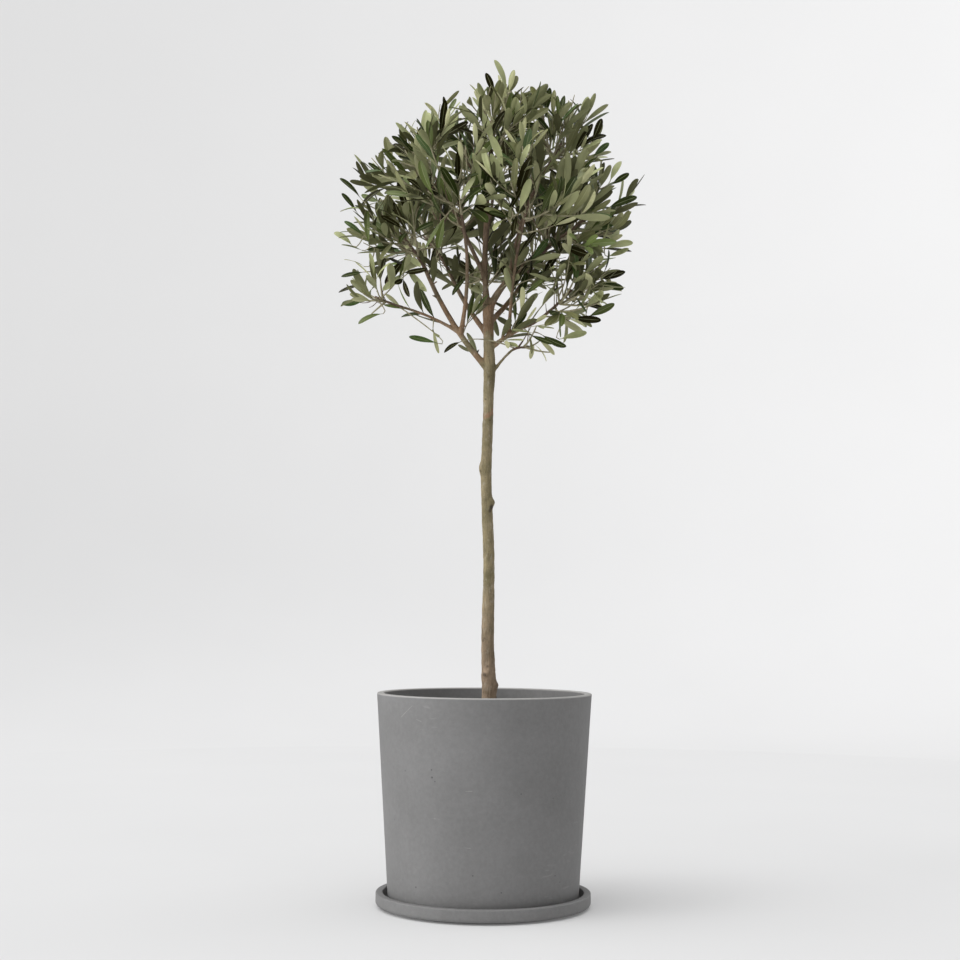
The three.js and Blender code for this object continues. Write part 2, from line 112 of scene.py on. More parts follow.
# Foliage: the limb that carries each mass, the centre and the half sizes of its space,
# the number of shoots on its stem and the size of its leaves.
SEED = 61
MASSES = [
    ("foliage_top", "leader", (4, -34, 1088), (108, 106, 112), 6, 1),
    ("foliage_top_left", "bough_top_left", (-94, -14, 1044), (124, 106, 108), 6, 1),
    ("foliage_top_right", "bough_top_right", (100, -8, 1066), (104, 106, 110), 6, 1),
    ("foliage_top_back", "bough_top_back", (6, 84, 1052), (126, 108, 114), 6, 1),
    ("foliage_left", "bough_left", (-120, -4, 938), (108, 102, 94), 6, 1),
    ("foliage_right", "fork_right", (134, -4, 962), (124, 104, 100), 6, 1),
    ("foliage_front_left", "bough_front_left", (-42, -106, 974), (106, 100, 102), 7, 1),
    ("foliage_front_right", "bough_front_right", (56, -106, 966), (106, 100, 102), 7, 1),
    ("foliage_back_left", "bough_back_left", (-90, 92, 956), (102, 102, 100), 6, 1),
    ("foliage_back_right", "bough_back_right", (96, 88, 950), (104, 102, 100), 6, 1),
    ("foliage_low_left", "bough_low_left", (-154, -16, 848), (76, 68, 62), 4, 0.8),
    ("foliage_low_right", "bough_right", (112, -20, 854), (96, 88, 76), 6, 0.85),
    ("foliage_low_shoot", "bough_low_right", (58, -6, 780), (54, 52, 46), 3, 0.65),
    ("foliage_low_back", "bough_low_back", (0, 98, 908), (102, 94, 92), 6, 1),
]
FOLIAGE_NODES = [mass[0] for mass in MASSES]
WOOD_NODES = ["trunk"] + [limb[0] for limb in LIMBS]

GAP = 0.3
STEM = dict(tip_radius=2.2, run=0.15)
SHOOT = dict(radius=2.1, sag=0.14, shortest=20)
CELL_MARGIN = 0.03
WOOD_CLEARANCE = 1.5
REACH = (0.24, 0.46)
ROOM_BEYOND = 0.18
CANDIDATES = 24
FORWARD = 0.3
SHORTENED = (1, 0.85, 0.7, 0.55)

UP = Vector((0, 0, 1))


def smoothstep(value, low, high):
    share = min(1.0, max(0.0, (value - low) / (high - low)))
    return share * share * (3 - 2 * share)


def lerp(low, high, share):
    return low + (high - low) * share


def seeded(seed):
    """A stream of repeatable numbers from 0 to 1."""
    state = seed * 7919

    def draw():
        nonlocal state
        state = (state * 1664525 + 1013904223) % 4294967296
        return state / 4294967296

    return draw


# ---------------------------------------------------------------------------
# Meshes
# ---------------------------------------------------------------------------


def into_scene(name, data):
    made = bpy.data.objects.new(name, data)
    bpy.context.scene.collection.objects.link(made)
    return made


class Surface:
    """Vertices in millimetres and faces, gathered from many parts of one piece."""

    def __init__(self):
        self.points = []
        self.faces = []
        self.kinds = []
        self.count = 0

    def add(self, points, faces, kinds=None):
        points = np.asarray(points, float).reshape(-1, 3)
        self.points.append(points)
        self.faces.extend([tuple(corner + self.count for corner in face) for face in faces])
        self.kinds.extend(kinds if kinds is not None else [0] * len(faces))
        self.count += len(points)

    def piece(self, name, materials, smooth=True, scale=MM):
        mesh = bpy.data.meshes.new(name)
        mesh.from_pydata((np.concatenate(self.points) * scale).tolist(), [], self.faces)
        mesh.polygons.foreach_set("material_index", np.array(self.kinds, np.int32))
        mesh.polygons.foreach_set("use_smooth", np.full(len(mesh.polygons), smooth))
        for material in materials:
            mesh.materials.append(material)
        mesh.update()
        return into_scene(name, mesh)


def tube_faces(rows, sides):
    """The sides and the two caps of a tube whose rings follow one another."""
    faces = []
    for row in range(rows - 1):
        for side in range(sides):
            following = (side + 1) % sides
            low, high = row * sides, (row + 1) * sides
            faces.append((low + side, low + following, high + following, high + side))
    faces.append(tuple(range(sides - 1, -1, -1)))
    faces.append(tuple((rows - 1) * sides + side for side in range(sides)))
    return faces


def frames_along(points):
    """Directions across a line that turn as little as they can from point to point."""
    tangents = np.gradient(np.array(points, float), axis=0)
    tangents /= np.linalg.norm(tangents, axis=1, keepdims=True)
    first = np.cross(tangents[0], (0.31, 0.9, 0.11))
    across = [first / np.linalg.norm(first)]
    for tangent in tangents[1:]:
        carried = across[-1] - tangent * (across[-1] @ tangent)
        across.append(carried / np.linalg.norm(carried))
    across = np.array(across)
    return tangents, across, np.cross(tangents, across)


def add_tube(surface, points, radii, sides):
    points = np.array(points, float)
    _, across, over = frames_along(points)
    angles = turns_of(sides)
    circle = (across[:, None, :] * np.cos(angles)[None, :, None]
              + over[:, None, :] * np.sin(angles)[None, :, None])
    rings = points[:, None, :] + circle * np.asarray(radii, float)[:, None, None]
    surface.add(rings, tube_faces(len(points), sides))


def turns_of(sides):
    return np.arange(sides) * 2 * math.pi / sides


def level_rings(profile, sides):
    """A level ring of points for each (radius, height)."""
    return [[(radius * math.cos(a), radius * math.sin(a), height) for a in turns_of(sides)]
            for radius, height in profile]


def turned(name, profile, sides, materials):
    """A solid of revolution whose profile starts and ends on the axis."""
    surface = Surface()
    inner = [(radius, height) for radius, height in profile if radius > 0]
    surface.add(level_rings(inner, sides), tube_faces(len(inner), sides))
    return surface.piece(name, materials)


def arc(centre, radius, start, end, steps=6):
    """Points of an arc in a profile, from one angle to the other, in degrees."""
    turns = [math.radians(lerp(start, end, step / steps)) for step in range(steps + 1)]
    return [(centre[0] + radius * math.cos(t), centre[1] + radius * math.sin(t)) for t in turns]


# ---------------------------------------------------------------------------
# Materials
# ---------------------------------------------------------------------------


class Finish:
    """A node material, with short ways to add what the finishes here are made of."""

    def __init__(self, name, roughness, specular=0.5):
        self.material = bpy.data.materials.new(name)
        self.material.use_nodes = True
        self.tree = self.material.node_tree
        self.shader = self.tree.nodes["Principled BSDF"]
        self.shader.inputs["Roughness"].default_value = roughness
        self.shader.inputs["Specular IOR Level"].default_value = specular
        self.place = self.tree.nodes.new("ShaderNodeTexCoord").outputs["Object"]

    def node(self, kind, inputs=None, **settings):
        made = self.tree.nodes.new(kind)
        for key, value in settings.items():
            setattr(made, key, value)
        for key, value in (inputs or {}).items():
            if isinstance(value, bpy.types.NodeSocket):
                self.tree.links.new(value, made.inputs[key])
            else:
                made.inputs[key].default_value = value
        return made

    def stretched(self, scale):
        return self.node("ShaderNodeMapping", {"Vector": self.place, "Scale": scale}).outputs[0]

    def noise(self, scale, detail=4.0, roughness=0.55, place=None):
        inputs = {"Vector": place or self.place, "Scale": scale, "Detail": detail,
                  "Roughness": roughness}
        return self.node("ShaderNodeTexNoise", inputs).outputs["Fac"]

    def cells(self, scale, place=None):
        inputs = {"Vector": place or self.place, "Scale": scale}
        return self.node("ShaderNodeTexVoronoi", inputs).outputs["Distance"]

    def ramp(self, value, stops):
        """Stops are (position, colour or grey value)."""
        made = self.node("ShaderNodeValToRGB", {"Fac": value})
        elements = made.color_ramp.elements
        while len(elements) < len(stops):
            elements.new(0.5)
        for element, (position, colour) in zip(elements, stops):
            element.position = position
            colour = (colour,) * 3 if isinstance(colour, (int, float)) else colour
            element.color = (*colour, 1)
        return made.outputs["Color"]

    def mixed(self, share, first, second, blend="MIX"):
        made = self.node("ShaderNodeMix", data_type="RGBA", blend_type=blend)
        for socket, value in ((made.inputs["Factor"], share), (made.inputs[6], first),
                              (made.inputs[7], second)):
            if isinstance(value, bpy.types.NodeSocket):
                self.tree.links.new(value, socket)
            elif isinstance(value, (int, float)):
                socket.default_value = value
            else:
                socket.default_value = (*value, 1)
        return made.outputs[2]

    def away_from(self, spot):
        """The distance from a place given in millimetres, in metres."""
        inputs = {0: self.place, 1: [value * MM for value in spot]}
        return self.node("ShaderNodeVectorMath", inputs, operation="DISTANCE").outputs["Value"]

    def height(self):
        """Height above the floor, in metres."""
        return self.node("ShaderNodeSeparateXYZ", {"Vector": self.place}).outputs["Z"]

    def maths(self, operation, *values):
        inputs = dict(enumerate(values))
        return self.node("ShaderNodeMath", inputs, operation=operation).outputs[0]

    def eased(self, value, low, high, start=0.0, end=1.0, kind="LINEAR"):
        """A value taken from one range to another, and kept within it."""
        inputs = {"Value": value, "From Min": low, "From Max": high, "To Min": start, "To Max": end}
        made = self.node("ShaderNodeMapRange", inputs, interpolation_type=kind)
        return made.outputs["Result"]

    def spot(self, place, inner, outer, strength):
        """The strength round a place in millimetres, fading to 0 from inner to outer radius."""
        return self.eased(self.away_from(place), inner * MM, outer * MM, strength, 0.0)

    def times(self, first, second):
        return self.mixed(1.0, first, second, "MULTIPLY")

    def band(self, value, low, high, soft):
        """1 between two values, fading to 0 outside them."""
        return self.maths("MULTIPLY", self.eased(value, low - soft, low),
                          self.eased(value, high, high + soft, 1.0, 0.0))

    def colour(self, socket):
        self.tree.links.new(socket, self.shader.inputs["Base Color"])

    def rough(self, value, low, high):
        self.tree.links.new(self.eased(value, 0.0, 1.0, low, high), self.shader.inputs["Roughness"])

    def bump(self, layers):
        """Layers are (height socket, depth in metres), from the coarsest to the finest."""
        normal = None
        for value, depth in layers:
            inputs = {"Height": value, "Distance": depth}
            if normal:
                inputs["Normal"] = normal
            normal = self.node("ShaderNodeBump", inputs).outputs["Normal"]
        self.tree.links.new(normal, self.shader.inputs["Normal"])


# Marks on the pot: the bearing, height and radius of each pit, painted dark as the shade in it, and the
# bearing, height, slope, length and half width of each scratch.
PITS = [(-118.9, 198, 1.3), (-118.7, 188, 1.7), (-117, 183, 1.1), (-70, 168, 1.0), (-96, 62, 1.1),
        (-132, 41, 1.4), (-80, 40, 1.1), (44, 190, 1.4), (128, 120, 1.6), (170, 230, 1.3)]
SCRATCHES = [
    (-134.5, 273, 0.62, 30, 0.5),
    (-126, 262, -0.3, 9, 0.4),
    (-98, 172, 0.05, 10, 0.5),
    (-117, 134, 0.02, 14, 0.5),
    (-84, 158, 0.1, 8, 0.4),
    (-99, 98, -0.1, 10, 0.4),
    (62, 235, 0.5, 26, 0.5),
    (140, 80, -0.2, 16, 0.5),
]


def on_pot(bearing, height):
    """A place on the pot's outside, and the way round it there."""
    angle = math.radians(bearing)
    radius = lerp(POT["foot_radius"], POT["rim_radius"],
                  (height - POT["foot"]) / (POT["top"] - POT["foot"]))
    spot = Vector((radius * math.cos(angle), radius * math.sin(angle), height))
    return spot, Vector((-math.sin(angle), math.cos(angle), 0))


def pot_finish():
    made = Finish("moulded_grey", 0.62, 0.35)
    cloudy = made.noise(9, 6, 0.6)
    fine = made.noise(160, 5, 0.7)
    colour = made.ramp(cloudy, [(0.3, (0.157, 0.155, 0.153)), (0.7, (0.203, 0.201, 0.200))])
    colour = made.mixed(0.35, colour, made.ramp(fine, [(0.35, 0.145), (0.7, 0.225)]), "MIX")
    # The tiny pits: a slight dip in the bump, and painted shade, as they are made darker where shade
    # falls in them.
    pit_relief_and_shade = made.ramp(made.cells(58), [(0.03, 0.0), (0.075, 1.0)])
    chosen = made.ramp(made.noise(13, 2), [(0.50, 1.0), (0.56, 0.0)])
    pit_relief_and_shade = made.mixed(1.0, pit_relief_and_shade, chosen, "LIGHTEN")
    colour = made.mixed(pit_relief_and_shade, made.mixed(0.55, colour, (0.06, 0.06, 0.06)), colour)
    rubbed = made.noise(1, 3, 0.5, made.stretched((34, 34, 150)))
    rubbed = made.ramp(rubbed, [(0.66, 0.0), (0.74, 1.0)])
    marks = made.times(rubbed, made.ramp(made.noise(7, 2), [(0.58, 0.0), (0.66, 0.5)]))
    colour = made.mixed(marks, colour, (0.29, 0.285, 0.28))
    # Painted shade in the larger pits: near black spots where shade falls in them.
    for bearing, height, radius in PITS:
        painted_pit_shade = made.spot(on_pot(bearing, height)[0], radius * 0.6, radius, 0.65)
        colour = made.mixed(painted_pit_shade, colour, (0.035, 0.035, 0.036))
    for bearing, height, slope, length, width in SCRATCHES:
        centre, around = on_pot(bearing, height)
        across = around * -math.sin(slope) + UP * math.cos(slope)
        middle = [value * MM for value in centre]
        offset = made.node("ShaderNodeVectorMath", {0: made.place, 1: middle},
                           operation="SUBTRACT").outputs["Vector"]
        line = made.node("ShaderNodeVectorMath", {0: offset, 1: across},
                         operation="DOT_PRODUCT").outputs["Value"]
        line = made.eased(made.maths("ABSOLUTE", line), 0.0, width * MM, 1.0, 0.0)
        near = made.spot(centre, length * 0.42, length * 0.5, 1.0)
        broken = made.ramp(made.noise(260, 2), [(0.40, 0.1), (0.56, 0.6)])
        mark = made.times(made.times(line, near), broken)
        colour = made.mixed(mark, colour, (0.42, 0.41, 0.39))
    # Painted highlight: the top of the lip is made lighter, where light from above falls on it.
    painted_lip_highlight = made.band(made.height(), (POT["top"] - 1.3) * MM, POT["top"] * MM, 0.0005)
    colour = made.mixed(painted_lip_highlight, colour, (0.33, 0.325, 0.315))
    made.colour(colour)
    made.rough(fine, 0.52, 0.72)
    made.bump([(cloudy, 0.0016), (fine, 0.00012), (pit_relief_and_shade, 0.0005)])
    return made.material


def soil_finish():
    made = Finish("potting_soil", 0.95, 0.2)
    crumbs = made.noise(220, 6, 0.7)
    damp = made.noise(22, 3)
    colour = made.ramp(crumbs, [(0.3, (0.016, 0.010, 0.007)), (0.52, (0.050, 0.032, 0.021)),
                                (0.72, (0.115, 0.080, 0.052))])
    made.colour(made.mixed(damp, colour, (0.030, 0.019, 0.013)))
    made.bump([(crumbs, 0.0016)])
    return made.material


# Dark spots on the stem, partly the dark colour of healed scars and partly painted shade in cracks and
# under the knots: height, bearing round it, how far out, radius, how dark.
SCARS_AND_SHADE = [
    (286, -8, 1.0, 5.0, 0.8),
    (319, 236, 0.5, 4.0, 0.75),
    (330, 262, 0.0, 2.4, 0.6),
    (366, 222, 0.0, 3.2, 0.6),
    (369, 236, 0.0, 2.2, 0.5),
    (553, -38, 0.5, 5.2, 0.9),
    (548, -58, 0.0, 3.6, 0.7),
    (604, 206, 1.5, 2.8, 0.6),
    (668, 120, 2.0, 5.0, 0.7),
    (706, 236, 0.0, 2.0, 0.7),
    (738, 262, 0.0, 2.4, 0.5),
    (676, 292, 0.0, 1.8, 0.6),
]


def bark_finish():
    made = Finish("olive_bark", 0.75, 0.3)
    height = made.height()
    mottle = made.noise(38, 5, 0.6)
    streaks = made.noise(1, 6, 0.65, made.stretched((420, 420, 60)))
    flecks = made.noise(700, 3, 0.6)
    grey = made.ramp(mottle, [(0.3, (0.195, 0.143, 0.092)), (0.7, (0.430, 0.318, 0.222))])
    green = made.ramp(mottle, [(0.3, (0.150, 0.128, 0.062)), (0.7, (0.335, 0.275, 0.160))])
    rust = made.ramp(mottle, [(0.3, (0.215, 0.118, 0.064)), (0.7, (0.420, 0.260, 0.158))])
    ragged = made.maths("ADD", height, made.maths("MULTIPLY", made.noise(26, 3), 0.09))
    olive = made.band(ragged, 0.50, 0.83, 0.12)
    colour = made.mixed(olive, grey, green)
    across = made.node("ShaderNodeSeparateXYZ", {"Vector": made.place}).outputs["X"]
    right = made.eased(across, -0.009, 0.001)
    for low, high, strength in ((0.729, 0.737, right), (0.842, 0.885, (0.7,) * 3)):
        patch = made.times(made.band(ragged, low, high, 0.007), strength)
        colour = made.mixed(patch, colour, rust)
    colour = made.mixed(made.spot((-12, -4, 768), 5, 14, 0.7), colour, rust)
    colour = made.mixed(made.ramp(streaks, [(0.34, 0.42), (0.52, 0.0)]), colour,
                        (0.075, 0.058, 0.040))
    blotches = made.noise(1, 5, 0.65, made.stretched((150, 150, 90)))
    colour = made.mixed(made.ramp(blotches, [(0.55, 0.0), (0.68, 0.55)]), colour,
                        (0.400, 0.365, 0.300))
    specks = made.noise(1, 4, 0.6, made.stretched((330, 330, 420)))
    colour = made.mixed(made.ramp(specks, [(0.62, 0.0), (0.70, 0.7)]), colour,
                        (0.095, 0.066, 0.040))
    colour = made.mixed(made.ramp(flecks, [(0.62, 0.0), (0.72, 0.5)]), colour,
                        (0.45, 0.41, 0.33))
    # Painted shade: the bark is made much darker from 0.80 m up, where the crown shades the limbs, and a
    # little darker below.
    colour = made.mixed(made.eased(height, 0.80, 0.90), made.times(colour, (0.95,) * 3),
                        made.times(colour, (0.62, 0.57, 0.54)))
    # Dark spots, partly the scars' own colour and partly painted shade in cracks and under the knots.
    for mark_height, bearing, out, radius, depth in SCARS_AND_SHADE:
        angle = math.radians(bearing)
        reach = trunk_value(mark_height, 2) + out
        spot = (trunk_value(mark_height, 1) + reach * math.cos(angle), reach * math.sin(angle),
                mark_height)
        scar_and_shade = made.spot(spot, radius * 0.35, radius, depth)
        colour = made.mixed(scar_and_shade, colour, (0.040, 0.027, 0.018))
    made.colour(colour)
    made.rough(streaks, 0.62, 0.88)
    made.bump([(streaks, 0.0012), (mottle, 0.0009), (flecks, 0.0002)])
    return made.material


def twig_finish(name, dark, light):
    made = Finish(name, 0.65, 0.35)
    mottle = made.noise(90, 4, 0.6)
    fine = made.noise(900, 3, 0.6)
    made.colour(made.ramp(mottle, [(0.3, dark), (0.7, light)]))
    made.rough(mottle, 0.55, 0.8)
    made.bump([(mottle, 0.0003), (fine, 0.0001)])
    return made.material


def leaf_finish(name, base, roughness, specular):
    """A leathery blade: the base colour, a little lighter and darker from place to place."""
    made = Finish(name, roughness, specular)
    broad = made.noise(30, 3, 0.5)
    fine = made.noise(600, 3, 0.6)
    dark = tuple(channel * 0.82 for channel in base)
    light = tuple(min(1.0, channel * 1.2) for channel in base)
    colour = made.ramp(broad, [(0.3, dark), (0.7, light)])
    made.colour(made.mixed(made.ramp(fine, [(0.55, 0.0), (0.75, 0.25)]), colour, light))
    made.rough(fine, roughness - 0.08, roughness + 0.08)
    made.bump([(fine, 0.00012)])
    return made.material


# ---------------------------------------------------------------------------
# Pot, saucer and soil
# ---------------------------------------------------------------------------

ROUND = 192


def make_saucer(material):
    radius, height, edge = SAUCER["radius"], SAUCER["height"], SAUCER["edge"]
    inner = radius - SAUCER["wall"]
    floor = SAUCER["floor"]
    foot = SAUCER["foot_radius"]
    profile = [(0, 0), (60, 0), (foot - 8, 0), (foot - 7.6, 0.4), (foot - 7, 2.0), (foot - 1.5, 2.3)]
    profile += arc((radius - 5, 7.4), 5, -62, 0, 8)
    profile += arc((radius - edge, height - edge), edge, 0, 90, 5)
    profile += arc((inner + edge, height - edge), edge, 90, 180, 5)
    profile += arc((inner - edge - 3, floor + 3.2), 3.2, -20, -90, 5)
    profile += [(70, floor), (0, floor)]
    return turned("saucer_body", profile, ROUND, [material])


def pot_inner_radius(height):
    share = (height - POT["foot"]) / (POT["top"] - POT["foot"])
    return lerp(POT["foot_radius"], POT["rim_radius"], share) - POT["wall"]


def make_pot(material):
    top, foot, edge = POT["top"], POT["foot"], POT["edge"]
    outer, wall = POT["rim_radius"], POT["wall"]
    floor = foot + POT["floor"]
    low = POT["foot_radius"]
    profile = [(0, foot), (60, foot), (low - POT["bevel"] - 2, foot)]
    profile += arc((low - POT["bevel"], foot + POT["bevel"]), POT["bevel"], -90, -4, 6)
    profile += [(lerp(low, outer, share), lerp(foot, top, share)) for share in (0.1, 0.35, 0.65, 0.9)]
    profile += arc((outer - edge, top - edge), edge, 4, 90, 6)
    profile += arc((outer - wall + edge, top - edge), edge, 90, 184, 6)
    profile += [(pot_inner_radius(height), height) for height in (top - 40, top - 130, floor + 8)]
    profile += [(pot_inner_radius(floor) - 4, floor + 2), (pot_inner_radius(floor) - 10, floor)]
    profile += [(60, floor), (0, floor)]
    return turned("pot_body", profile, ROUND, [material])


def soil_level(radius, angle):
    """The surface of the soil, which falls a little towards the pot and is crumbly."""
    side = SOIL["top"] - SOIL["shoulder"]
    rim = pot_inner_radius(side) - SOIL["gap"]
    fall = max(0.0, (radius - SOIL["flat_radius"]) / (rim - SOIL["flat_radius"]))
    x, y = radius * math.cos(angle), radius * math.sin(angle)
    lumps = noise.fractal(Vector((x, y, 3.0)) * 0.045, 0.9, 2.1, 3) * 1.6
    crumbs = noise.fractal(Vector((x, y, 9.0)) * 0.32, 0.8, 2.2, 3) * 0.9
    return SOIL["top"] - SOIL["shoulder"] * fall + (lumps + crumbs) * min(1.0, radius / 12)


def make_soil(material):
    surface = Surface()
    rows, sides = 84, 240
    bottom = POT["foot"] + POT["floor"] + SOIL["gap"]
    side_height = SOIL["top"] - SOIL["shoulder"]
    rim = pot_inner_radius(side_height) - SOIL["gap"] - 0.5
    rings = level_rings([(40, bottom), (pot_inner_radius(bottom) - SOIL["gap"], bottom)], sides)
    for row in range(rows):
        radius = lerp(rim, 1.2, row / (rows - 1))
        rings.append([(radius * math.cos(a), radius * math.sin(a), soil_level(radius, a))
                      for a in turns_of(sides)])
    surface.add(rings, tube_faces(len(rings), sides))
    return surface.piece("soil_surface", [material])


CRUMBS = 1500


def make_crumbs(material):
    """Loose crumbs and bits of bark that lie on the soil."""
    surface = Surface()
    random = seeded(401)
    corners = [(1, 0, 0), (-1, 0, 0), (0, 1, 0), (0, -1, 0), (0, 0, 1), (0, 0, -1)]
    faces = [(0, 2, 4), (2, 1, 4), (1, 3, 4), (3, 0, 4), (2, 0, 5), (1, 2, 5), (3, 1, 5), (0, 3, 5)]
    for _ in range(CRUMBS):
        radius = 14 + 122 * math.sqrt(random())
        angle = 2 * math.pi * random()
        size = 0.8 + 2.4 * random() ** 3
        turn = Matrix.Rotation(2 * math.pi * random(), 3, Vector((random(), random(), random() + 0.1)))
        centre = Vector((radius * math.cos(angle), radius * math.sin(angle),
                         soil_level(radius, angle) + size * 0.25))
        stretch = (1 + 0.9 * random(), 1, 0.6 + 0.3 * random())
        points = [centre + turn @ Vector([c * s * size * (0.8 + 0.4 * random())
                                          for c, s in zip(corner, stretch)])
                  for corner in corners]
        surface.add([tuple(p) for p in points], faces)
    return surface.piece("soil_crumbs", [material], smooth=False)


# ---------------------------------------------------------------------------
# Trunk and limbs
# ---------------------------------------------------------------------------


def trunk_value(height, column):
    """A value between two stations of the stem, eased so that there is no corner."""
    above = next((i for i, row in enumerate(TRUNK) if row[0] >= height), len(TRUNK) - 1)
    above = max(1, above)
    low, high = TRUNK[above - 1], TRUNK[above]
    return lerp(low[column], high[column], smoothstep(height, low[0], high[0]))


def trunk_centre(height):
    return Vector((trunk_value(height, 1), 0, height))


def trunk_radius(height, angle):
    radius = trunk_value(height, 2)
    for knot_height, bearing, size, reach in KNOTS:
        turn = angle - math.radians(bearing)
        away = math.degrees(math.acos(math.cos(turn))) / KNOT_SPREAD
        along = (height - knot_height) / reach
        radius += size * math.exp(-away * away - along * along)
    return radius


class Bend:
    """A quadratic curve through a start, towards a bend and to an end."""

    def __init__(self, start, bend, end):
        self.ends = [Vector(p) for p in (start, bend, end)]
        shares = np.linspace(0, 1, 201)
        line = np.array([self.point(t) for t in shares])
        steps = np.linalg.norm(np.diff(line, axis=0), axis=1)
        self.run = np.concatenate([[0], np.cumsum(steps)])
        self.shares = shares
        self.length = float(self.run[-1])

    def point(self, t):
        a, b, c = self.ends
        return a * (1 - t) ** 2 + b * (2 * t * (1 - t)) + c * t * t

    def tangent(self, t):
        a, b, c = self.ends
        return ((b - a) * (1 - t) + (c - b) * t).normalized()

    def evenly(self, share):
        """The curve's own parameter at a share of its length."""
        return float(np.interp(share * self.length, self.run, self.shares))

    def point_at(self, share):
        return self.point(self.evenly(share))

    def tangent_at(self, share):
        return self.tangent(self.evenly(share))

    def points(self, steps):
        return [self.point(step / steps) for step in range(steps + 1)]


def limb_curves():
    curves = {}
    for name, source, at, bend, tip, _ in LIMBS:
        start = trunk_centre(at) if source == "trunk" else curves[source].point(at)
        curves[name] = Bend(start, bend, tip)
    return curves


CURVES = limb_curves()
LIMB_RADII = {limb[0]: limb[5] for limb in LIMBS}


def balls_along_wood(spacing=4):
    """The trunk and limbs as rows of balls that twigs and leaves keep clear of."""
    centres, radii = [], []
    for height in np.arange(TRUNK[0][0], TRUNK[-1][0], spacing):
        centres.append(trunk_centre(height))
        radii.append(trunk_value(height, 2))
    for name, curve in CURVES.items():
        steps = math.ceil(curve.length / spacing)
        for step in range(steps + 1):
            centres.append(curve.point(step / steps))
            radii.append(lerp(*LIMB_RADII[name], step / steps))
    return np.array(centres), np.array(radii)


WOOD_CENTRES, WOOD_BALLS = balls_along_wood()

COLLAR = dict(swell=0.55, run=9)  # how a limb thickens where it leaves what it grows from
VOXEL = 1.0

# Short stubs of pruned twigs on the limbs: the limb, where on it, the way it points,
# its length and its radius.
STUBS = [
    ("bough_left", 0.42, (0.8, -0.4, 0.5), 9, 1.5),
    ("bough_left", 0.72, (-0.9, -0.3, 0.5), 8, 1.2),
    ("bough_left", 0.86, (0.7, -0.6, 0.3), 6, 1.3),
    ("bough_right", 0.34, (0.1, -0.7, 0.6), 6, 1.2),
    ("leader", 0.22, (-0.8, -0.5, 0.3), 6, 1.4),
    ("fork_right", 0.4, (0.3, -0.8, 0.4), 5, 1.3),
]


def add_wood(surface):
    heights = np.arange(TRUNK[0][0], TRUNK[-1][0] + 1, 3.0)
    sides = 40
    rings = []
    for height in heights:
        centre = trunk_centre(height)
        rings.append([(centre.x + trunk_radius(height, a) * math.cos(a),
                       trunk_radius(height, a) * math.sin(a), height) for a in turns_of(sides)])
    surface.add(rings, tube_faces(len(rings), sides))
    for name, curve in CURVES.items():
        steps = max(8, int(curve.length / 4))
        shares = np.linspace(0, 1, steps + 1)
        base, tip = LIMB_RADII[name]
        swell = base * COLLAR["swell"]
        radii = [lerp(base, tip, s) + swell * math.exp(-s * curve.length / COLLAR["run"])
                 for s in shares]
        add_tube(surface, [curve.point_at(s) for s in shares], radii, 20)
    for name, at, way, length, radius in STUBS:
        start = CURVES[name].point_at(at)
        end = start + Vector(way).normalized() * (length + LIMB_RADII[name][0])
        points = [start.lerp(end, share) for share in (0, 0.4, 0.8, 1)]
        add_tube(surface, points, [radius * 1.2, radius, radius * 1.05, radius * 0.8], 12)


def bark_relief(point):
    """How far the bark stands out at a point, in millimetres: furrows and fine ridges along
    the wood, stronger towards the foot of the stem."""
    old = 1 - smoothstep(point.z, 280, 620)
    furrows = noise.fractal(Vector((point.x * 0.30, point.y * 0.30, point.z * 0.055)), 0.7, 2.1, 4)
    ridges = noise.noise(Vector((point.x * 0.9, point.y * 0.9, point.z * 0.16 + 40)))
    bumps = noise.noise(point * 0.13 + Vector((7, 3, 1)))
    return furrows * (0.20 + 0.34 * old) + ridges * (0.10 + 0.12 * old) + bumps * 0.35


def make_wood(material):
    surface = Surface()
    add_wood(surface)
    rough = surface.piece("wood_tubes", [material], scale=1.0)
    remesh = rough.modifiers.new("join", "REMESH")
    remesh.mode = "VOXEL"
    remesh.voxel_size = VOXEL
    smooth = rough.modifiers.new("smooth", "SMOOTH")
    smooth.factor = 0.5
    smooth.iterations = 5
    bpy.context.view_layer.update()
    depsgraph = bpy.context.evaluated_depsgraph_get()
    mesh = bpy.data.meshes.new_from_object(rough.evaluated_get(depsgraph))
    bpy.data.objects.remove(rough)
    mesh.name = "bark"
    normals = [vertex.normal.copy() for vertex in mesh.vertices]
    places = []
    for vertex, normal in zip(mesh.vertices, normals):
        point = vertex.co
        thin = smoothstep(trunk_distance(point), 3, 14)
        moved = point + normal * (bark_relief(point) * lerp(1.0, 0.55, thin))
        places.append((moved.x, moved.y, max(moved.z, TRUNK[0][0])))
    mesh.vertices.foreach_set("co", (np.array(places) * MM).ravel())
    mesh.polygons.foreach_set("use_smooth", np.full(len(mesh.polygons), True))
    mesh.update()
    return into_scene("bark", mesh)


def trunk_distance(point):
    """How far outside the stem a point lies."""
    if point.z > TRUNK[-1][0]:
        return 14.0
    centre = trunk_centre(point.z)
    return (point - centre).length - trunk_value(point.z, 2)


# ---------------------------------------------------------------------------
# Growth of the foliage
# ---------------------------------------------------------------------------

CENTRES = np.array([mass[2] for mass in MASSES], float)
HALVES = np.array([mass[3] for mass in MASSES], float)


def depths(point):
    """How far a point lies from each mass's centre, in half sizes."""
    return np.linalg.norm((np.array(point) - CENTRES) / HALVES, axis=1)


def in_space(number, point, margin=CELL_MARGIN, reach=1.0):
    away = depths(point)
    own = away[number]
    away[number] = np.inf
    return own < reach and away.min() > own + margin


def clear_of_wood(point, half_thickness, clearance=WOOD_CLEARANCE):
    away = np.linalg.norm(WOOD_CENTRES - np.array(point), axis=1)
    return bool((away > WOOD_BALLS + half_thickness + clearance).all())


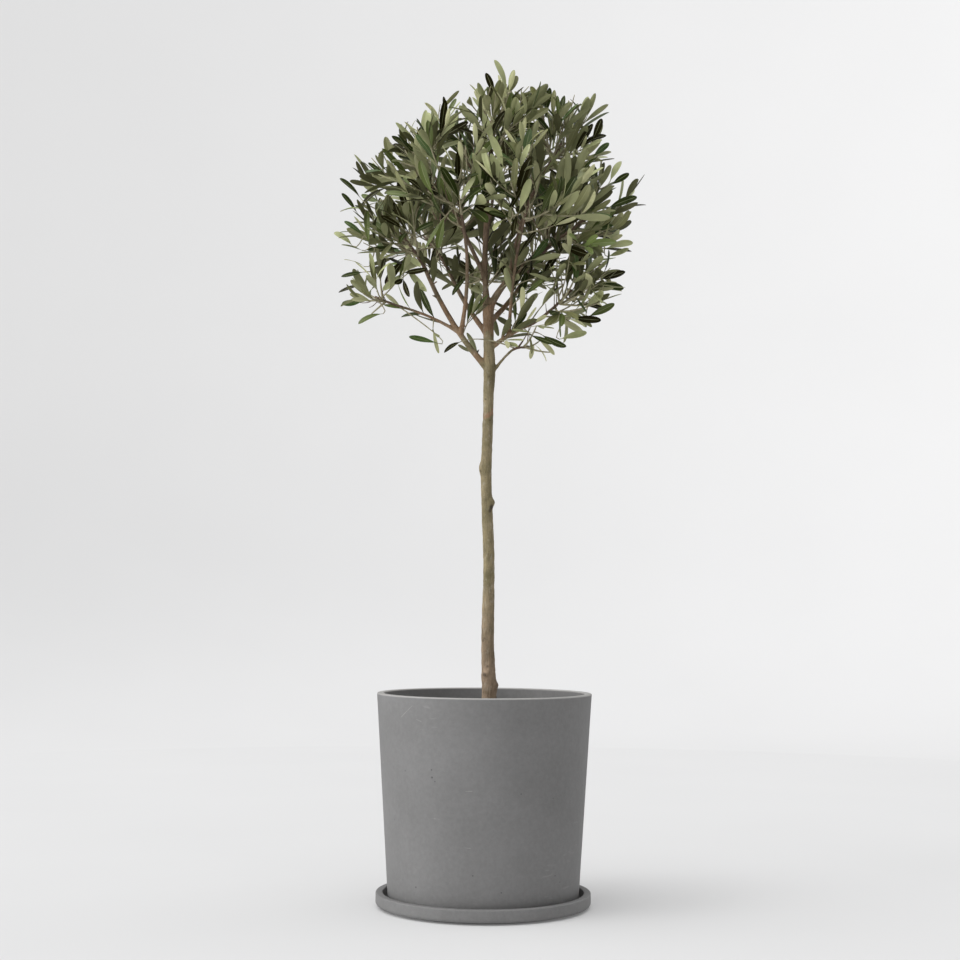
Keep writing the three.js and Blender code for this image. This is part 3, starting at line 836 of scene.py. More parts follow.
def closest(point, others):
    return min((Vector(point) - other).length for other in others)


def stem_of(number):
    """The stem goes on from its limb's tip, into the middle of the mass."""
    _, limb, centre, _, _, _ = MASSES[number]
    carrier = CURVES[limb]
    tangent = carrier.tangent(1)
    start = carrier.point(1) + tangent * GAP
    heading = Vector(centre) - start
    end = Vector(centre) + heading * STEM["run"]
    return Bend(start, start + tangent * (heading.length * 0.5), end)


def next_aim(number, random, standing):
    """Of several aims in the mass's space, the one furthest from the twigs that stand already."""
    best, widest = None, 0
    centre, half = Vector(MASSES[number][2]), MASSES[number][3]
    for _ in range(CANDIDATES):
        rise = 2 * random() - 1
        turn = 2 * math.pi * random()
        reach = lerp(*REACH, random())
        ring = math.sqrt(1 - rise * rise)
        ray = Vector((ring * math.cos(turn) * half[0], ring * math.sin(turn) * half[1], rise * half[2]))
        aim = centre + ray * reach
        room = closest(aim, standing)
        if room > widest and in_space(number, aim + ray * ROOM_BEYOND):
            best, widest = aim, room
    return best


def leave_at(stem, aim, steps=20):
    away = [(point - aim).length for point in stem.points(steps)]
    nearest = away.index(min(away)) / steps
    return min(0.97, max(0.12, nearest - FORWARD))


def shoot_curve(start, end):
    """A shoot sags outwards and turns up towards its tip."""
    across = end - start
    across.z = 0
    sag = across.normalized() - UP * 0.6
    return Bend(start, start.lerp(end, 0.5) + sag * ((end - start).length * SHOOT["sag"]), end)


def shoot_fits(number, curve):
    points = curve.points(8)
    clear = all(clear_of_wood(point, SHOOT["radius"]) for point in points)
    return clear and all(in_space(number, point) for point in points[3:])


def shoots_of(number, stem):
    """The shoots of a mass, as its solid has them."""
    random = seeded(SEED + number)
    standing = [stem.point(0.6), stem.point(0.2)]
    shoots = []
    for _ in range(MASSES[number][4]):
        aim = next_aim(number, random, standing)
        if not aim:
            continue
        start = stem.point(leave_at(stem, aim))
        curves = [shoot_curve(start, start.lerp(aim, share)) for share in SHORTENED]
        curve = next((one for one in curves if shoot_fits(number, one)), None)
        if curve and curve.length > SHOOT["shortest"]:
            shoots.append(curve)
            standing += [curve.point(1), curve.point(0.6)]
    return shoots


# The crown's outline from the front: height, how far it reaches to the left and to the right.
CROWN = [
    (735, -20, 62),
    (775, -62, 108),
    (815, -178, 158),
    (850, -216, 190),
    (900, -196, 196),
    (945, -212, 206),
    (1005, -204, 212),
    (1040, -208, 192),
    (1075, -160, 170),
    (1105, -104, 162),
    (1132, -74, 150),
    (1150, -50, 92),
    (1164, 0, 44),
]
CROWN_DEPTH = (-198, 186)  # how far it reaches to the front and to the back


def in_crown(point, share):
    """Whether a point lies within a share of the crown's outline, seen from the front and from
    the side."""
    height = point[2]
    if not CROWN[0][0] < height < CROWN[-1][0]:
        return share == math.inf
    left, right = (np.interp(height, [row[0] for row in CROWN], [row[side] for row in CROWN])
                   for side in (1, 2))
    reach = CROWN_DEPTH[0] if point[1] < 0 else CROWN_DEPTH[1]
    depth = point[1] / (reach * min(1.0, (right - left) / 360))
    width = (point[0] - (left + right) / 2) / ((right - left) / 2)
    return abs(width) ** 2.4 + abs(depth) ** 2.4 < share


# Finer twigs: each shoot runs on past its solid's tip and carries side twigs.
RUN_ON = (26, 60)
SIDE = dict(first=0.14, gap=26, spread=(0.55, 0.95), length=(38, 82), lift=0.55, outwards=0.35)
STEM_SIDE = dict(first=0.3, gap=28, spread=(0.7, 1.1), length=(50, 95), lift=0.5, outwards=0.45)
SOFT_MARGIN = -0.12  # finer twigs may mingle a little at the border of two spaces
SOFT_REACH = 0.84
OUTLINE = (0.45, 0.95)  # the share of the crown's outline that the tip of a twig may reach


def across_of(direction, bearing):
    side = direction.cross(Vector((0.3, 1, 0.1))).normalized()
    return Quaternion(direction, bearing) @ side


def room_for(number, points, outline):
    return all(in_space(number, point, SOFT_MARGIN, SOFT_REACH) and in_crown(point, outline)
               and clear_of_wood(point, 1.2, 1.0) for point in points)


def grown_on(number, curve, random):
    """A shoot carried on from its tip as far as its space allows."""
    tip, way = curve.point(1), curve.tangent(1)
    for share in (1, 0.75, 0.5, 0.25):
        run = lerp(*RUN_ON, random()) * share
        end = tip + (way + UP * 0.35).normalized() * run
        longer = Bend(curve.ends[0], curve.ends[1].lerp(tip, 0.35), end)
        if room_for(number, [longer.point(t) for t in (0.8, 0.9, 1)], lerp(*OUTLINE, random())):
            return longer
    return curve


def side_twigs(number, parent, random, rule):
    """Side twigs, one at each node along a shoot, that turn outwards and up."""
    made = []
    centre = Vector(MASSES[number][2])
    bearing = 2 * math.pi * random()
    place = rule["first"] * parent.length
    while place < parent.length * 0.9:
        share = place / parent.length
        start, way = parent.point_at(share), parent.tangent_at(share)
        bearing += 2.4 + (random() - 0.5)
        spread = lerp(*rule["spread"], random())
        size = lerp(*rule["length"], random()) * lerp(1, 0.6, share)
        outwards = (start - centre).normalized() if (start - centre).length > 1 else UP
        outline = lerp(*OUTLINE, random())
        for turn in (0, 0.9, -0.9, 1.8, -1.8):
            across = across_of(way, bearing + turn)
            first = (way * math.cos(spread) + across * math.sin(spread)).normalized()
            then = (first + UP * rule["lift"] + outwards * rule["outwards"]).normalized()
            end = start + (first + then).normalized() * size
            curve = Bend(start, start + first * (size * 0.5), end)
            if room_for(number, [curve.point(t) for t in (0.45, 0.7, 0.85, 1)], outline):
                made.append(curve)
                break
        place += rule["gap"] * lerp(0.7, 1.3, random())
    return made


# Outer sprigs, listed one by one: the mass, the share of its stem that each leaves from, the
# point it bends towards and its tip.
SPRIGS = [
    ("foliage_top", 0.9, (18, -30, 1112), (29, -34, 1140)),
    ("foliage_top_right", 0.9, (122, -18, 1078), (140, -24, 1108)),
    ("foliage_top_right", 0.75, (132, -10, 1040), (146, -6, 1066)),
    ("foliage_right", 0.85, (176, -8, 962), (203, -10, 1000)),
    ("foliage_right", 0.6, (140, -20, 912), (166, -22, 924)),
    ("foliage_low_right", 0.85, (120, -24, 838), (150, -28, 858)),
    ("foliage_low_right", 0.6, (98, -28, 822), (114, -30, 818)),
    ("foliage_low_left", 0.9, (-150, -18, 842), (-176, -20, 844)),
    ("foliage_left", 0.6, (-142, -16, 900), (-166, -20, 932)),
    ("foliage_top_left", 0.7, (-142, -16, 992), (-170, -20, 1014)),
    ("foliage_top_left", 0.8, (-106, -20, 1036), (-118, -24, 1060)),
    ("foliage_top_left", 0.95, (-64, -22, 1072), (-68, -26, 1096)),
]


# Single leaves that stand out in the crown's outline, up both sides of it: the gap in height
# between two, how far they go over its top, how far in front of the middle they are, their
# length, how far the lowest and the highest turn up, how much that strays, and their roll.
OUTER = dict(seed=870, gap=24, over=22, front=(10, 36), length=(28, 46), rise=(-0.35, 1.25),
             stray=0.9, roll=(-0.3, 1.1))
# Pale leaves in front: the masses that have them, and how many each has.
FRONT_MASSES = ("foliage_top", "foliage_front_left", "foliage_front_right")
FRONT_EACH = 2


def sprigs_of(number, stem):
    return [Bend(stem.point(at), bend, tip) for name, at, bend, tip in SPRIGS
            if name == MASSES[number][0]]


# ---------------------------------------------------------------------------
# Leaves
# ---------------------------------------------------------------------------

LEAF = dict(length=56, width=11.5, widest=0.57, thickness=0.42, petiole=0.07, tries=4)
NODES = dict(first=3, gap=(13, 20), bare_shoot=0.40, bare_side=0.18, spread=(0.42, 0.85), lift=0.30,
             missing=0.12)
LEAF_SPACING = 8.6
LEAF_STATIONS = np.array([0, 0.06, 0.12, 0.21, 0.33, 0.46, 0.59, 0.72, 0.83, 0.915, 0.97, 1.0])
ACROSS = np.array([-1, -0.5, -0.07, 0.07, 0.5, 1, 0.5, 0, -0.5])  # round a leaf's section
BELOW = np.array([0, 0, 0, 0, 0, 0, 1, 1, 1])
MARGINS = (0, 5)  # the two places in a section where upper and under side meet
UPPER_SIDE, UNDER_SIDE, MIDRIB = range(3)
SECTION_KINDS = [UPPER_SIDE] * 2 + [MIDRIB] + [UPPER_SIDE] * 2 + [UNDER_SIDE] * 4
RIB_END = 0.86  # the share of the leaf where the midrib fades out

# Shades of the leaves, partly their own spread of colour and partly painted light: the darkest are
# painted shade, dealt mostly deep in the crown where shade falls, and the palest, dealt mostly at its
# outside, are partly painted highlight. Each has the share of the leaves that have it deep in the crown
# and at its outside, the upper side's base colour and which under side they have.
SHADES = [
    ("dusk", (0.48, 0.14), (0.018, 0.016, 0.003), "dull"),
    ("deep", (0.30, 0.20), (0.031, 0.045, 0.007), "dull"),
    ("olive", (0.13, 0.16), (0.086, 0.114, 0.023), "silver"),
    ("green", (0.05, 0.10), (0.062, 0.106, 0.025), "silver"),
    ("grey", (0.03, 0.16), (0.200, 0.203, 0.086), "silver"),
    ("sage", (0.01, 0.24), (0.370, 0.395, 0.190), "pale"),
    ("young", (0, 0), (0.180, 0.235, 0.068), "pale"),
]
GLOSS = {"dusk": 0.06, "deep": 0.15, "sage": 0.4}
# Under sides of the leaves; the dull one, which the darkest shades have, is painted shade.
UNDERSIDES = {
    "dull": (0.104, 0.106, 0.044),
    "silver": (0.262, 0.272, 0.135),
    "pale": (0.460, 0.460, 0.255),
}
RIB = (0.36, 0.38, 0.20)


def half_width(share):
    """The blade's half width as a share of its greatest: a narrow petiole, a blade that widens
    slowly to a little past its middle, and a blunt tip."""
    before = np.clip((LEAF["widest"] - share) / (LEAF["widest"] - LEAF["petiole"]), 0, 1)
    after = np.clip((share - LEAF["widest"]) / (1 - LEAF["widest"]), 0, 1)
    body = (1 - before ** 1.65) * (1 - after ** 2.6) ** 0.58
    return np.maximum(body, 0.09 * (1 - share) + 0.02)


def leaf_mesh(root, along, face, length, width, random):
    """The points of one leaf: a thin blade with a raised midrib, folded along it, bent back
    over its length and a little twisted."""
    bend = lerp(-0.15, 0.75, random())
    fold = lerp(0.10, 0.42, random())
    twist = (random() - 0.5) * 0.9
    sway = (random() - 0.5) * 0.35
    side = along.cross(face).normalized()
    shares = LEAF_STATIONS
    turn = bend * shares ** 1.3
    steer = sway * shares
    steps = np.diff(shares, prepend=0) * length
    forward = np.cumsum(steps * np.cos(turn) * np.cos(steer))
    sideways = np.cumsum(steps * np.sin(steer))
    upward = -np.cumsum(steps * np.sin(turn))
    axes = np.array([tuple(along), tuple(side), tuple(face)])
    spine = np.stack([forward, sideways, upward], 1)
    halves = half_width(shares) * width / 2
    roll = twist * shares
    thick = LEAF["thickness"] * (0.6 + 0.4 * np.sin(math.pi * shares)) * (length / LEAF["length"])
    across = halves[:, None] * ACROSS[None, :]
    rise = np.abs(across) * math.sin(fold) - 0.35 * fold * np.abs(across) ** 2 / max(width / 2, 1)
    rib = np.where(ACROSS == 0, 1.0, 0.45)[None, :] * BELOW[None, :]
    rise = rise - thick[:, None] * (rib * 1.5)
    rise = rise - np.where(np.abs(ACROSS) == 0.07, 0.10, 0.0)[None, :]
    section_side = across * np.cos(roll)[:, None] - rise * np.sin(roll)[:, None]
    section_up = across * np.sin(roll)[:, None] + rise * np.cos(roll)[:, None]
    local = np.zeros((len(shares), len(ACROSS), 3))
    local[:, :, 0] = spine[:, None, 0] + section_up * np.sin(turn)[:, None]
    local[:, :, 1] = spine[:, None, 1] + section_side
    local[:, :, 2] = spine[:, None, 2] + section_up * np.cos(turn)[:, None]
    return np.array(tuple(root)) + local @ axes


LEAF_FACES = tube_faces(len(LEAF_STATIONS), len(ACROSS))


def leaf_kinds():
    """Which of a leaf's materials each of its faces has."""
    kinds = []
    for face in range(len(LEAF_FACES) - 2):
        kind = SECTION_KINDS[face % len(ACROSS)]
        faded = LEAF_STATIONS[face // len(ACROSS)] > RIB_END
        kinds.append(UPPER_SIDE if kind == MIDRIB and faded else kind)
    return kinds + [UPPER_SIDE] * 2


LEAF_KINDS = leaf_kinds()


def leaf_direction(direction, spread, bearing, lift, roll):
    """Which way a leaf runs and where its upper side faces: towards the twig's tip."""
    across = across_of(direction, bearing)
    along = direction * math.cos(spread) + across * math.sin(spread) + UP * lift
    along.normalize()
    face = direction + UP * 0.5
    face -= along * face.dot(along)
    face = Quaternion(along, roll) @ face.normalized()
    return along, face


# Places, and radii, where the crown is open in front and shows its dark twiggy inside.
HOLLOWS = [((-34, -112, 1040), 44), ((-88, -92, 946), 30), ((62, -130, 1012), 22)]


def in_hollow(point):
    return any((Vector(point) - Vector(centre)).length < radius for centre, radius in HOLLOWS)


class Foliage:
    """Leaves as they are dealt out, by shade, with the points that later ones keep clear of."""

    def __init__(self):
        self.surfaces = {shade[0]: Surface() for shade in SHADES}
        self.taken = np.zeros((0, 3))

    def free(self, points):
        if not len(self.taken):
            return True
        away = np.linalg.norm(self.taken[:, None, :] - points[None, :, :], axis=2)
        return bool(away.min() > LEAF_SPACING)

    def place(self, node, spread, bearing, lift, size, shade, outline, random):
        root, direction = node
        length = LEAF["length"] * size
        for attempt in range(LEAF["tries"]):
            turn = math.ceil(attempt / 2) * 0.5 * (1 if attempt % 2 else -1)
            along, face = leaf_direction(direction, spread, bearing + turn, lift,
                                         (random() - 0.5) * 1.3)
            blade = np.array([tuple(root + along * (length * part)) for part in (0.55, 0.8, 1.0)])
            inside = all(in_crown(point, outline) for point in blade)
            clear = all(clear_of_wood(point, 1.0, 0.6) for point in blade)
            if inside and clear and not any(map(in_hollow, blade)) and self.free(blade):
                width = LEAF["width"] * size ** 0.9 * lerp(0.85, 1.15, random())
                points = leaf_mesh(root, along, face, length, width, random)
                self.surfaces[shade].add(points, LEAF_FACES, LEAF_KINDS)
                self.taken = np.concatenate([self.taken, blade])
                return


def outline_leaves(random):
    """Leaves up both sides of the crown's outline: root, tip and shade."""
    heights = [row[0] for row in CROWN]
    for side, column in ((-1, 1), (1, 2)):
        height = heights[1]
        while height < heights[-1] + OUTER["over"]:
            reach = np.interp(height, heights, [row[column] for row in CROWN])
            up = (height - heights[0]) / (heights[-1] - heights[0])
            rise = lerp(*OUTER["rise"], up) + (random() - 0.5) * OUTER["stray"]
            tip = Vector((reach, -lerp(*OUTER["front"], random()), height))
            way = Vector((side * math.cos(rise), -0.15, math.sin(rise))).normalized()
            root = tip - way * lerp(*OUTER["length"], random())
            yield root, tip, shade_for(random(), 0.7, random() < 0.06)
            height += OUTER["gap"] * lerp(0.6, 1.4, random())


def front_leaves(random):
    """Pale leaves that stand up in front of the crown, in the palest shade, which is partly painted
    highlight: root, tip and shade.
    """
    for _, _, centre, half, *_ in (mass for mass in MASSES if mass[0] in FRONT_MASSES):
        for _ in range(FRONT_EACH):
            away = Vector((random() - 0.5, -0.5, 0.8 * (random() - 0.5)))
            root = Vector(centre) + Vector([part * size for part, size in zip(away, half)])
            way = Vector((0.8 * (random() - 0.5), -0.2, 1)).normalized()
            yield root, root + way * OUTER["length"][1], "sage"


def outer_leaves():
    """The mass, root, tip, shade and roll of each leaf that is placed ahead of the others."""
    random = seeded(OUTER["seed"])
    return [(MASSES[int(np.argmin(depths(root)))][0], root, tip, shade,
             lerp(*OUTER["roll"], random()))
            for root, tip, shade in [*outline_leaves(random), *front_leaves(random)]]


def place_outer_leaves(foliage, outer, random):
    for _, root, tip, shade, roll in outer:
        way = tip - root
        along = way.normalized()
        face = Vector((0, -1, 0.35))
        face = Quaternion(along, roll) @ (face - along * face.dot(along)).normalized()
        width = LEAF["width"] * (way.length / LEAF["length"]) ** 0.5 * 1.08
        foliage.surfaces[shade].add(leaf_mesh(root, along, face, way.length * 1.04, width, random),
                                    LEAF_FACES, LEAF_KINDS)
        blade = np.array([tuple(root + way * part) for part in (0.3, 0.6, 0.9)])
        foliage.taken = np.concatenate([foliage.taken, blade])


def nearest_spot(carriers, place):
    """The point of some twigs that is nearest to a place."""
    spots = [point for carrier in carriers for point in carrier.points(10)[1:]]
    return min(spots, key=lambda point: (point - place).length)


def outer_twigs(number, outer, carriers):
    """A short twig to the root of each outer leaf of a mass, from the nearest twig."""
    made = []
    for name, root, tip, _, _ in outer:
        if name == MASSES[number][0]:
            way = tip - root
            start = nearest_spot(carriers, root)
            away = (root - start).length
            made.append(Bend(start, root - way.normalized() * (away * 0.4), root))
    return made


def shade_for(mixed, out, young):
    """Deals a shade: dark ones, which are painted shade, deep in the crown, paler ones, which are partly
    painted light, towards its outside, and a few young ones at the tips of outer shoots."""
    if young:
        return "young"
    total = 0.0
    weights = [(name, lerp(*shares, out)) for name, shares, _, _ in SHADES if name != "young"]
    whole = sum(weight for _, weight in weights)
    for name, weight in weights:
        total += weight / whole
        if mixed < total:
            return name
    return weights[-1][0]


CROWN_MIDDLE = Vector((0, 0, 960))


def leaves_along(foliage, curve, bare, small, random, outline=None, habit=None):
    """Crossed pairs of leaves from the tip of a twig back to its bare part. Small is their size
    beside the largest. Habit is how far they turn upwards and, where it matters, their shade."""
    bearing = 2 * math.pi * random()
    end = curve.point(1)
    out = smoothstep((end - CROWN_MIDDLE).length, 70, 190)
    young = out > 0.6 and random() < 0.10
    spray = random()
    lift, paled = habit or (NODES["lift"], None)
    spray = spray if paled is None else paled
    outline = outline or lerp(0.74, 1.14, random())
    tip = (curve.point(1), curve.tangent(1))
    for turn in (0, math.pi):
        size = small * lerp(0.55, 0.8, random())
        foliage.place(tip, lerp(0.15, 0.4, random()), bearing + turn, lift, size,
                      shade_for(spray, out, young), outline, random)
    place = curve.length - NODES["first"] - lerp(*NODES["gap"], random()) * 0.6
    while place > curve.length * bare:
        share = place / curve.length
        node = (curve.point_at(share), curve.tangent_at(share))
        bearing += math.pi / 2 + (random() - 0.5) * 0.5
        grown = smoothstep(curve.length - place, 0, 40)
        for turn in (0, math.pi):
            if random() < NODES["missing"]:
                continue
            mixed = (spray + (random() - 0.5) * (0.5 if paled is None else 0.2)) % 1.0
            size = small * lerp(0.72, 1.0, grown) * lerp(0.85, 1.2, random())
            foliage.place(node, lerp(*NODES["spread"], random()), bearing + turn, lift,
                          size, shade_for(mixed, out, young and grown < 0.5), outline, random)
        place -= lerp(*NODES["gap"], random())


def add_twig(surface, curve, base, tip, sides):
    """A twig that tapers, with a slight swelling where leaves stand."""
    steps = max(4, int(curve.length / 6))
    shares = np.linspace(0, 1, steps + 1)
    radii = [lerp(base, tip, s) * (1 + 0.12 * math.sin(s * curve.length * 0.42)) for s in shares]
    add_tube(surface, [curve.point_at(s) for s in shares], radii, sides)


# Masses whose leaves hang: how far the leaves turn upwards, and the place of their shade.
HANGING = {"foliage_low_shoot": (-0.9, 0.88), "foliage_low_right": (-0.35, None)}

# Limbs that bear leaves themselves: the limb, the share of it that is bare, and the size of
# its leaves.
LEAFY_LIMBS = [
    ("bough_low_left", 0.25, 0.9),
    ("bough_right", 0.25, 0.9),
    ("bough_front_right", 0.45, 0.9),
    ("bough_back_right", 0.4, 0.95),
    ("fork_right", 0.55, 0.9),
    ("bough_back_left", 0.6, 0.9),
    ("bough_left", 0.8, 0.9),
]

# Short leafy spurs on the limbs: the limb, the share of it where each leaves, and its tip.
SPURS = [
    ("bough_left", 0.10, (-18, 16, 776)),
    ("bough_left", 0.36, (-22, -10, 824)),
    ("bough_low_left", 0.45, (-76, -18, 806)),
    ("bough_right", 0.25, (24, -20, 786)),
    ("bough_right", 0.8, (60, -22, 796)),
    ("bough_right", 0.55, (54, -20, 838)),
    ("bough_right", 0.95, (86, -24, 846)),
    ("bough_back_right", 0.6, (72, 18, 872)),
    ("bough_front_right", 0.3, (50, -24, 850)),
    ("fork_right", 0.3, (34, -16, 872)),
    ("bough_back_right", 0.3, (40, 30, 862)),
    ("leader", 0.3, (-26, -12, 882)),
    ("fork_right", 0.7, (62, -20, 894)),
    ("bough_back_right", 0.75, (86, 30, 880)),
    ("bough_front_right", 0.55, (70, -26, 876)),
    ("bough_front_right", 0.8, (74, -44, 900)),
    ("leader", 0.15, (16, -26, 886)),
    ("bough_left", 0.95, (-66, -26, 916)),
    ("bough_back_left", 0.7, (-74, 24, 896)),
]


# Fans of bare brown twigs that show in the hollows: the mass, the place they spread from, how
# many there are and how long they are.
FANS = [
    ("foliage_top_left", (-18, -84, 1008), 11, 58),
    ("foliage_top_left", (-82, -66, 984), 7, 44),
    ("foliage_front_left", (-66, -84, 934), 6, 36),
]


def fan_twigs(number, carriers, random):
    """The fans of a mass, each on a short twig from the nearest other one."""
    made = []
    for name, root, count, length in FANS:
        if name != MASSES[number][0]:
            continue
        root = Vector(root)
        start = nearest_spot(carriers, root)
        made.append(Bend(start, start.lerp(root, 0.6) - UP * 6, root))
        for _ in range(count):
            way = Vector((1.5 * (random() - 0.5), -0.25 - 0.5 * random(), 0.9)).normalized()
            end = root + way * (length * lerp(0.5, 1.0, random()))
            made.append(Bend(root, root.lerp(end, 0.5) + UP * (4 * random()), end))
    return made


def spur_of(limb, at, tip):
    start = CURVES[limb].point_at(at)
    return Bend(start, start.lerp(Vector(tip), 0.5) + UP * 5, tip)


def bare_twigs(parent, count, random):
    """Short bare twigs low on an older one, where the shade has taken their leaves."""
    made = []
    for _ in range(count):
        share = lerp(0.08, 0.6, random())
        start, way = parent.point_at(share), parent.tangent_at(share)
        across = across_of(way, 2 * math.pi * random())
        spread = lerp(0.6, 1.1, random())
        size = lerp(16, 44, random())
        first = way * math.cos(spread) + across * math.sin(spread)
        end = start + (first + UP * 0.3).normalized() * size
        made.append(Bend(start, start + first * (size * 0.5), end))
    return made


# Seeds of the leaves and finer twigs, apart from those of the shoots in the solids.
SEEDS = dict(outer=880, limbs=900, spurs=940, masses=SEED + 500)


def grow(foliage, stems, twigs):
    outer = outer_leaves()
    place_outer_leaves(foliage, outer, seeded(SEEDS["outer"]))
    for limb, bare, size in LEAFY_LIMBS:
        leaves_along(foliage, CURVES[limb], bare, size, seeded(SEEDS["limbs"]))
    for number, spur in enumerate(SPURS):
        curve = spur_of(*spur)
        add_twig(twigs, curve, 1.1, 0.7, 8)
        leaves_along(foliage, curve, 0.3, 0.95, seeded(SEEDS["spurs"] + number), math.inf)
    for number, mass in enumerate(MASSES):
        random = seeded(SEEDS["masses"] + number)
        stem = stem_of(number)
        limb = CURVES[mass[1]]
        joined = Bend(limb.point_at(0.97), stem.ends[0].lerp(stem.ends[1], 0.6), stem.ends[2])
        add_twig(stems, joined, LIMB_RADII[mass[1]][1] * 1.02, STEM["tip_radius"] * 0.75, 12)
        shoots = [grown_on(number, curve, random) for curve in shoots_of(number, stem)]
        sprigs = sprigs_of(number, stem)
        habit = HANGING.get(mass[0])
        plain = mass[0] == "foliage_low_shoot"  # this one has no side twigs
        sides = [] if plain else side_twigs(number, stem, random, STEM_SIDE)
        bare = bare_twigs(stem, 3, random)
        for shoot in shoots + sprigs:
            add_twig(twigs, shoot, 1.7, 0.8, 10)
            sides += [] if plain else side_twigs(number, shoot, random, SIDE)
            bare += bare_twigs(shoot, int(random() < 0.5), random)
        for twig in bare:
            add_twig(stems, twig, 0.8, 0.4, 6)
        for twig in fan_twigs(number, [stem] + shoots, random):
            add_twig(stems, twig, 1.0, 0.45, 8)
        for twig in sides:
            add_twig(twigs, twig, 1.15, 0.6, 8)
        for twig in outer_twigs(number, outer, [stem] + shoots + sprigs + sides):
            add_twig(twigs, twig, 1.05, 0.6, 8)
        size = mass[5] ** 0.5
        for sprig in sprigs:
            leaves_along(foliage, sprig, NODES["bare_shoot"], size, random, math.inf, habit)
        for shoot in shoots:
            leaves_along(foliage, shoot, NODES["bare_shoot"], size, random, None, habit)
        for twig in sides:
            leaves_along(foliage, twig, NODES["bare_side"], size, random, None, habit)


def sharpen_margins(mesh):
    """Marks the margins of all leaves sharp, so that each side is shaded on its own."""
    pairs = np.zeros(len(mesh.edges) * 2, np.int32)
    mesh.edges.foreach_get("vertices", pairs)
    first, second = pairs.reshape(-1, 2).T
    section = len(ACROSS)
    on_margin = np.isin(first % section, MARGINS) & (first % section == second % section)
    sharp = mesh.attributes.new("sharp_edge", "BOOLEAN", "EDGE")
    sharp.data.foreach_set("value", on_margin)


def make_foliage():
    foliage, stems, twigs = Foliage(), Surface(), Surface()
    grow(foliage, stems, twigs)
    made = [
        stems.piece("stems", [twig_finish("brown_twigs", (0.085, 0.052, 0.034), (0.200, 0.142, 0.095))]),
        twigs.piece("twigs", [twig_finish("green_twigs", (0.235, 0.205, 0.125), (0.430, 0.400, 0.260))]),
    ]
    undersides = {name: leaf_finish(f"leaf_under_{name}", colour, 0.62, 0.3)
                  for name, colour in UNDERSIDES.items()}
    for name, _, upper, under in SHADES:
        finish = leaf_finish(f"leaf_{name}", upper, 0.44, GLOSS.get(name, 0.32))
        rib = leaf_finish(f"rib_{name}", tuple(lerp(c, r, 0.45) for c, r in zip(upper, RIB)), 0.5, 0.3)
        leaves = foliage.surfaces[name].piece(f"leaves_{name}", [finish, undersides[under], rib])
        sharpen_margins(leaves.data)
        made.append(leaves)
    return made


# ---------------------------------------------------------------------------
# Room, light and camera
# ---------------------------------------------------------------------------


FLOOR_GLOW = 0.19
WALL_GLOW = 0.555
SKY = 0.22
# Broad lights in the sky: the way to each, how bright its middle is, and how narrow it is.
LOBES = [
    ((-0.92, -0.30, 0.22), 2.45, 3),
    ((0.86, 0.46, 0.22), 0.95, 9),
    ((0.0, -0.1, 1.0), 2.1, 4),
]
# The soft sun: the way to it, its strength and how wide it looks, in degrees.
SUN = dict(towards=(-0.62, -0.28, 0.66), energy=0.35, angle=22)
ROOM = dict(floor=2600, bend=1500, wall=4600)  # the floor's radius, the wall's bend and its top


def backdrop_finish():
    """Pale paper that glows a little, as an evenly lit backdrop does: more so up the wall."""
    made = Finish("backdrop_paper", 0.9, 0.1)
    grain = made.noise(2, 2)
    floor = made.ramp(grain, [(0.3, (0.45, 0.45, 0.453)), (0.7, (0.46, 0.46, 0.463))])
    wall = made.ramp(grain, [(0.3, (0.295, 0.295, 0.297)), (0.7, (0.305, 0.305, 0.307))])
    near = made.ramp(grain, [(0.3, (0.515, 0.515, 0.517)), (0.7, (0.525, 0.525, 0.527))])
    rise = made.eased(made.height(), 0.0, 1.6, kind="SMOOTHSTEP")
    spread = made.eased(made.away_from((0, 0, 0)), 0.14, 0.42, kind="SMOOTHSTEP")
    made.colour(made.mixed(rise, made.mixed(spread, near, floor), wall))
    glow = made.mixed(spread, (0.12, 0.12, 0.12), (FLOOR_GLOW,) * 3)
    glow = made.mixed(rise, glow, (WALL_GLOW,) * 3)
    made.tree.links.new(glow, made.shader.inputs["Emission Color"])
    made.shader.inputs["Emission Strength"].default_value = 1.0
    return made.material


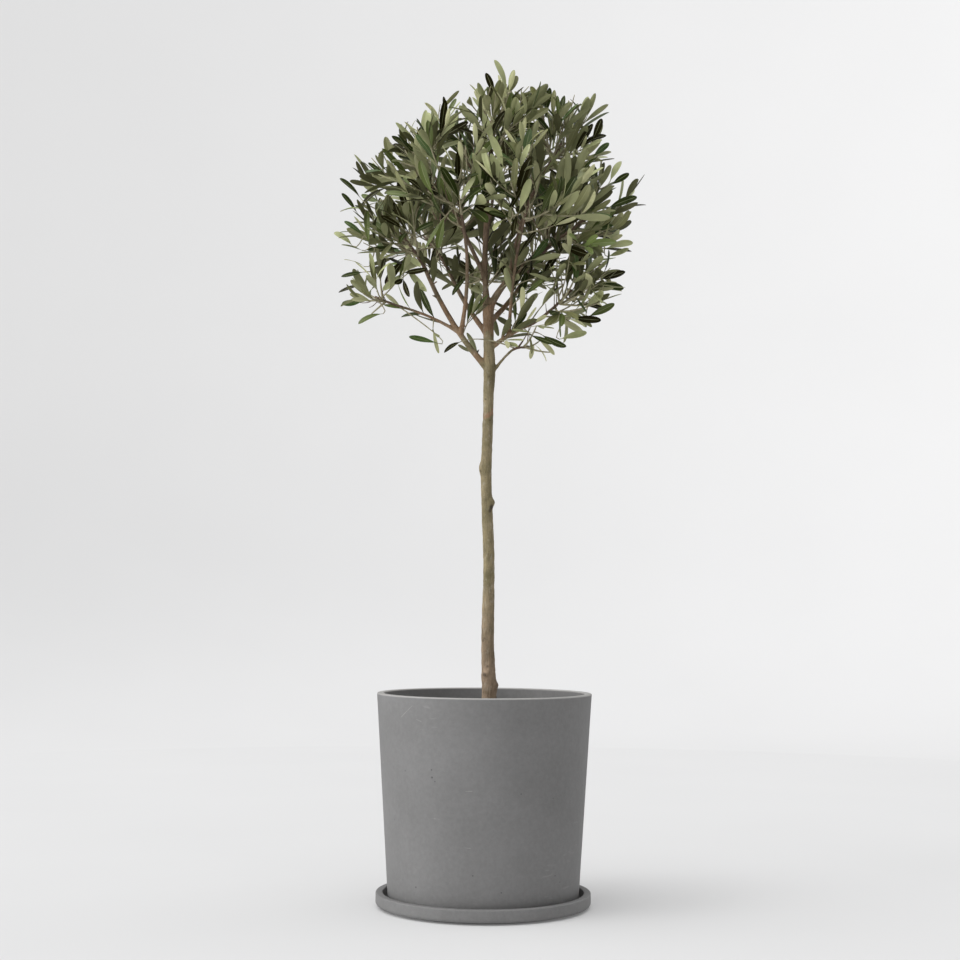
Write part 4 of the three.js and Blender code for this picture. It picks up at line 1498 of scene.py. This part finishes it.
def make_room():
    """A pale floor, and a wall all round that curves up from it and only shows as a backdrop."""
    sides = 96
    paper = backdrop_finish()
    reach, bend, top = ROOM["floor"], ROOM["bend"], ROOM["wall"]
    floor = Surface()
    floor.add(level_rings([(20, 0), (800, 0), (reach, 0)], sides), tube_faces(3, sides)[:-1])
    floor = floor.piece("floor", [paper])
    line = [(reach + bend * math.sin(t), bend - bend * math.cos(t))
            for t in np.linspace(0, math.pi / 2, 15)] + [(reach + bend, top)]
    wall = Surface()
    wall.add(level_rings(line, sides), tube_faces(len(line), sides)[:-2])
    wall = wall.piece("backdrop", [paper])
    wall.visible_diffuse = False
    wall.visible_glossy = False
    wall.visible_shadow = False
    floor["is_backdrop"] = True
    wall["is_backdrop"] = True


def make_light():
    """A pale sky that is brightest to the left and overhead, as two very large soft lights are,
    with a fainter light from the right and behind, and a soft sun for a little modelling."""
    world = bpy.data.worlds.new("sky")
    world.use_nodes = True
    tree = world.node_tree
    way = tree.nodes.new("ShaderNodeTexCoord").outputs["Generated"]

    def maths(operation, first, second, third=0.0):
        made = tree.nodes.new("ShaderNodeMath")
        made.operation = operation
        for socket, value in zip(made.inputs, (first, second, third)):
            if isinstance(value, bpy.types.NodeSocket):
                tree.links.new(value, socket)
            else:
                socket.default_value = value
        return made.outputs[0]

    strength = SKY
    for towards, bright, narrow in LOBES:
        facing = tree.nodes.new("ShaderNodeVectorMath")
        facing.operation = "DOT_PRODUCT"
        facing.inputs[1].default_value = Vector(towards).normalized()
        tree.links.new(way, facing.inputs[0])
        lobe = maths("POWER", maths("MAXIMUM", facing.outputs["Value"], 0.0), narrow)
        strength = maths("MULTIPLY_ADD", lobe, bright, strength)
    background = tree.nodes["Background"]
    background.inputs["Color"].default_value = (1, 1, 1, 1)
    tree.links.new(strength, background.inputs["Strength"])
    bpy.context.scene.world = world
    sun = bpy.data.lights.new("sun", "SUN")
    sun.energy = SUN["energy"]
    sun.angle = math.radians(SUN["angle"])
    made = into_scene("sun", sun)
    made.rotation_mode = "QUATERNION"
    made.rotation_quaternion = Vector(SUN["towards"]).to_track_quat("Z", "Y")


# The photo's point of view: the place in metres, and degrees up and of roll.
CAMERA = dict(place=(-0.0082, -2.3199, 0.4132), lens=61.70, up=4.40, roll=0.385)


def make_camera():
    data = bpy.data.cameras.new("camera")
    data.sensor_width = 36
    data.lens = CAMERA["lens"]
    made = into_scene("camera", data)
    made.location = CAMERA["place"]
    pitch, roll = math.radians(90 + CAMERA["up"]), math.radians(CAMERA["roll"])
    turn = Matrix.Rotation(pitch, 4, "X") @ Matrix.Rotation(roll, 4, "Z")
    made.rotation_euler = turn.to_euler()
    bpy.context.scene.camera = made


# ---------------------------------------------------------------------------
# The whole plant
# ---------------------------------------------------------------------------


def carry(piece, slot, *nodes):
    """A piece rides on the plant and stands for CAD nodes, which are hidden. The slot is not used."""
    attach(piece, "root")
    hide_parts(*nodes)


bpy.context.scene.view_settings.view_transform = "Standard"
make_camera()
make_light()
make_room()

grey = pot_finish()
carry(make_saucer(grey), "pot", "saucer")
carry(make_pot(grey), "pot", "pot")
earth = soil_finish()
carry(make_soil(earth), "soil", "soil")
carry(make_crumbs(earth), "soil", "soil")
carry(make_wood(bark_finish()), "bark", *WOOD_NODES)
for piece in make_foliage():
    carry(piece, "foliage", *FOLIAGE_NODES)

boxes = {"cad": CAD_BOX, "visual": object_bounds()}
{name: [list(corner) for corner in box] for name, box in boxes.items()}
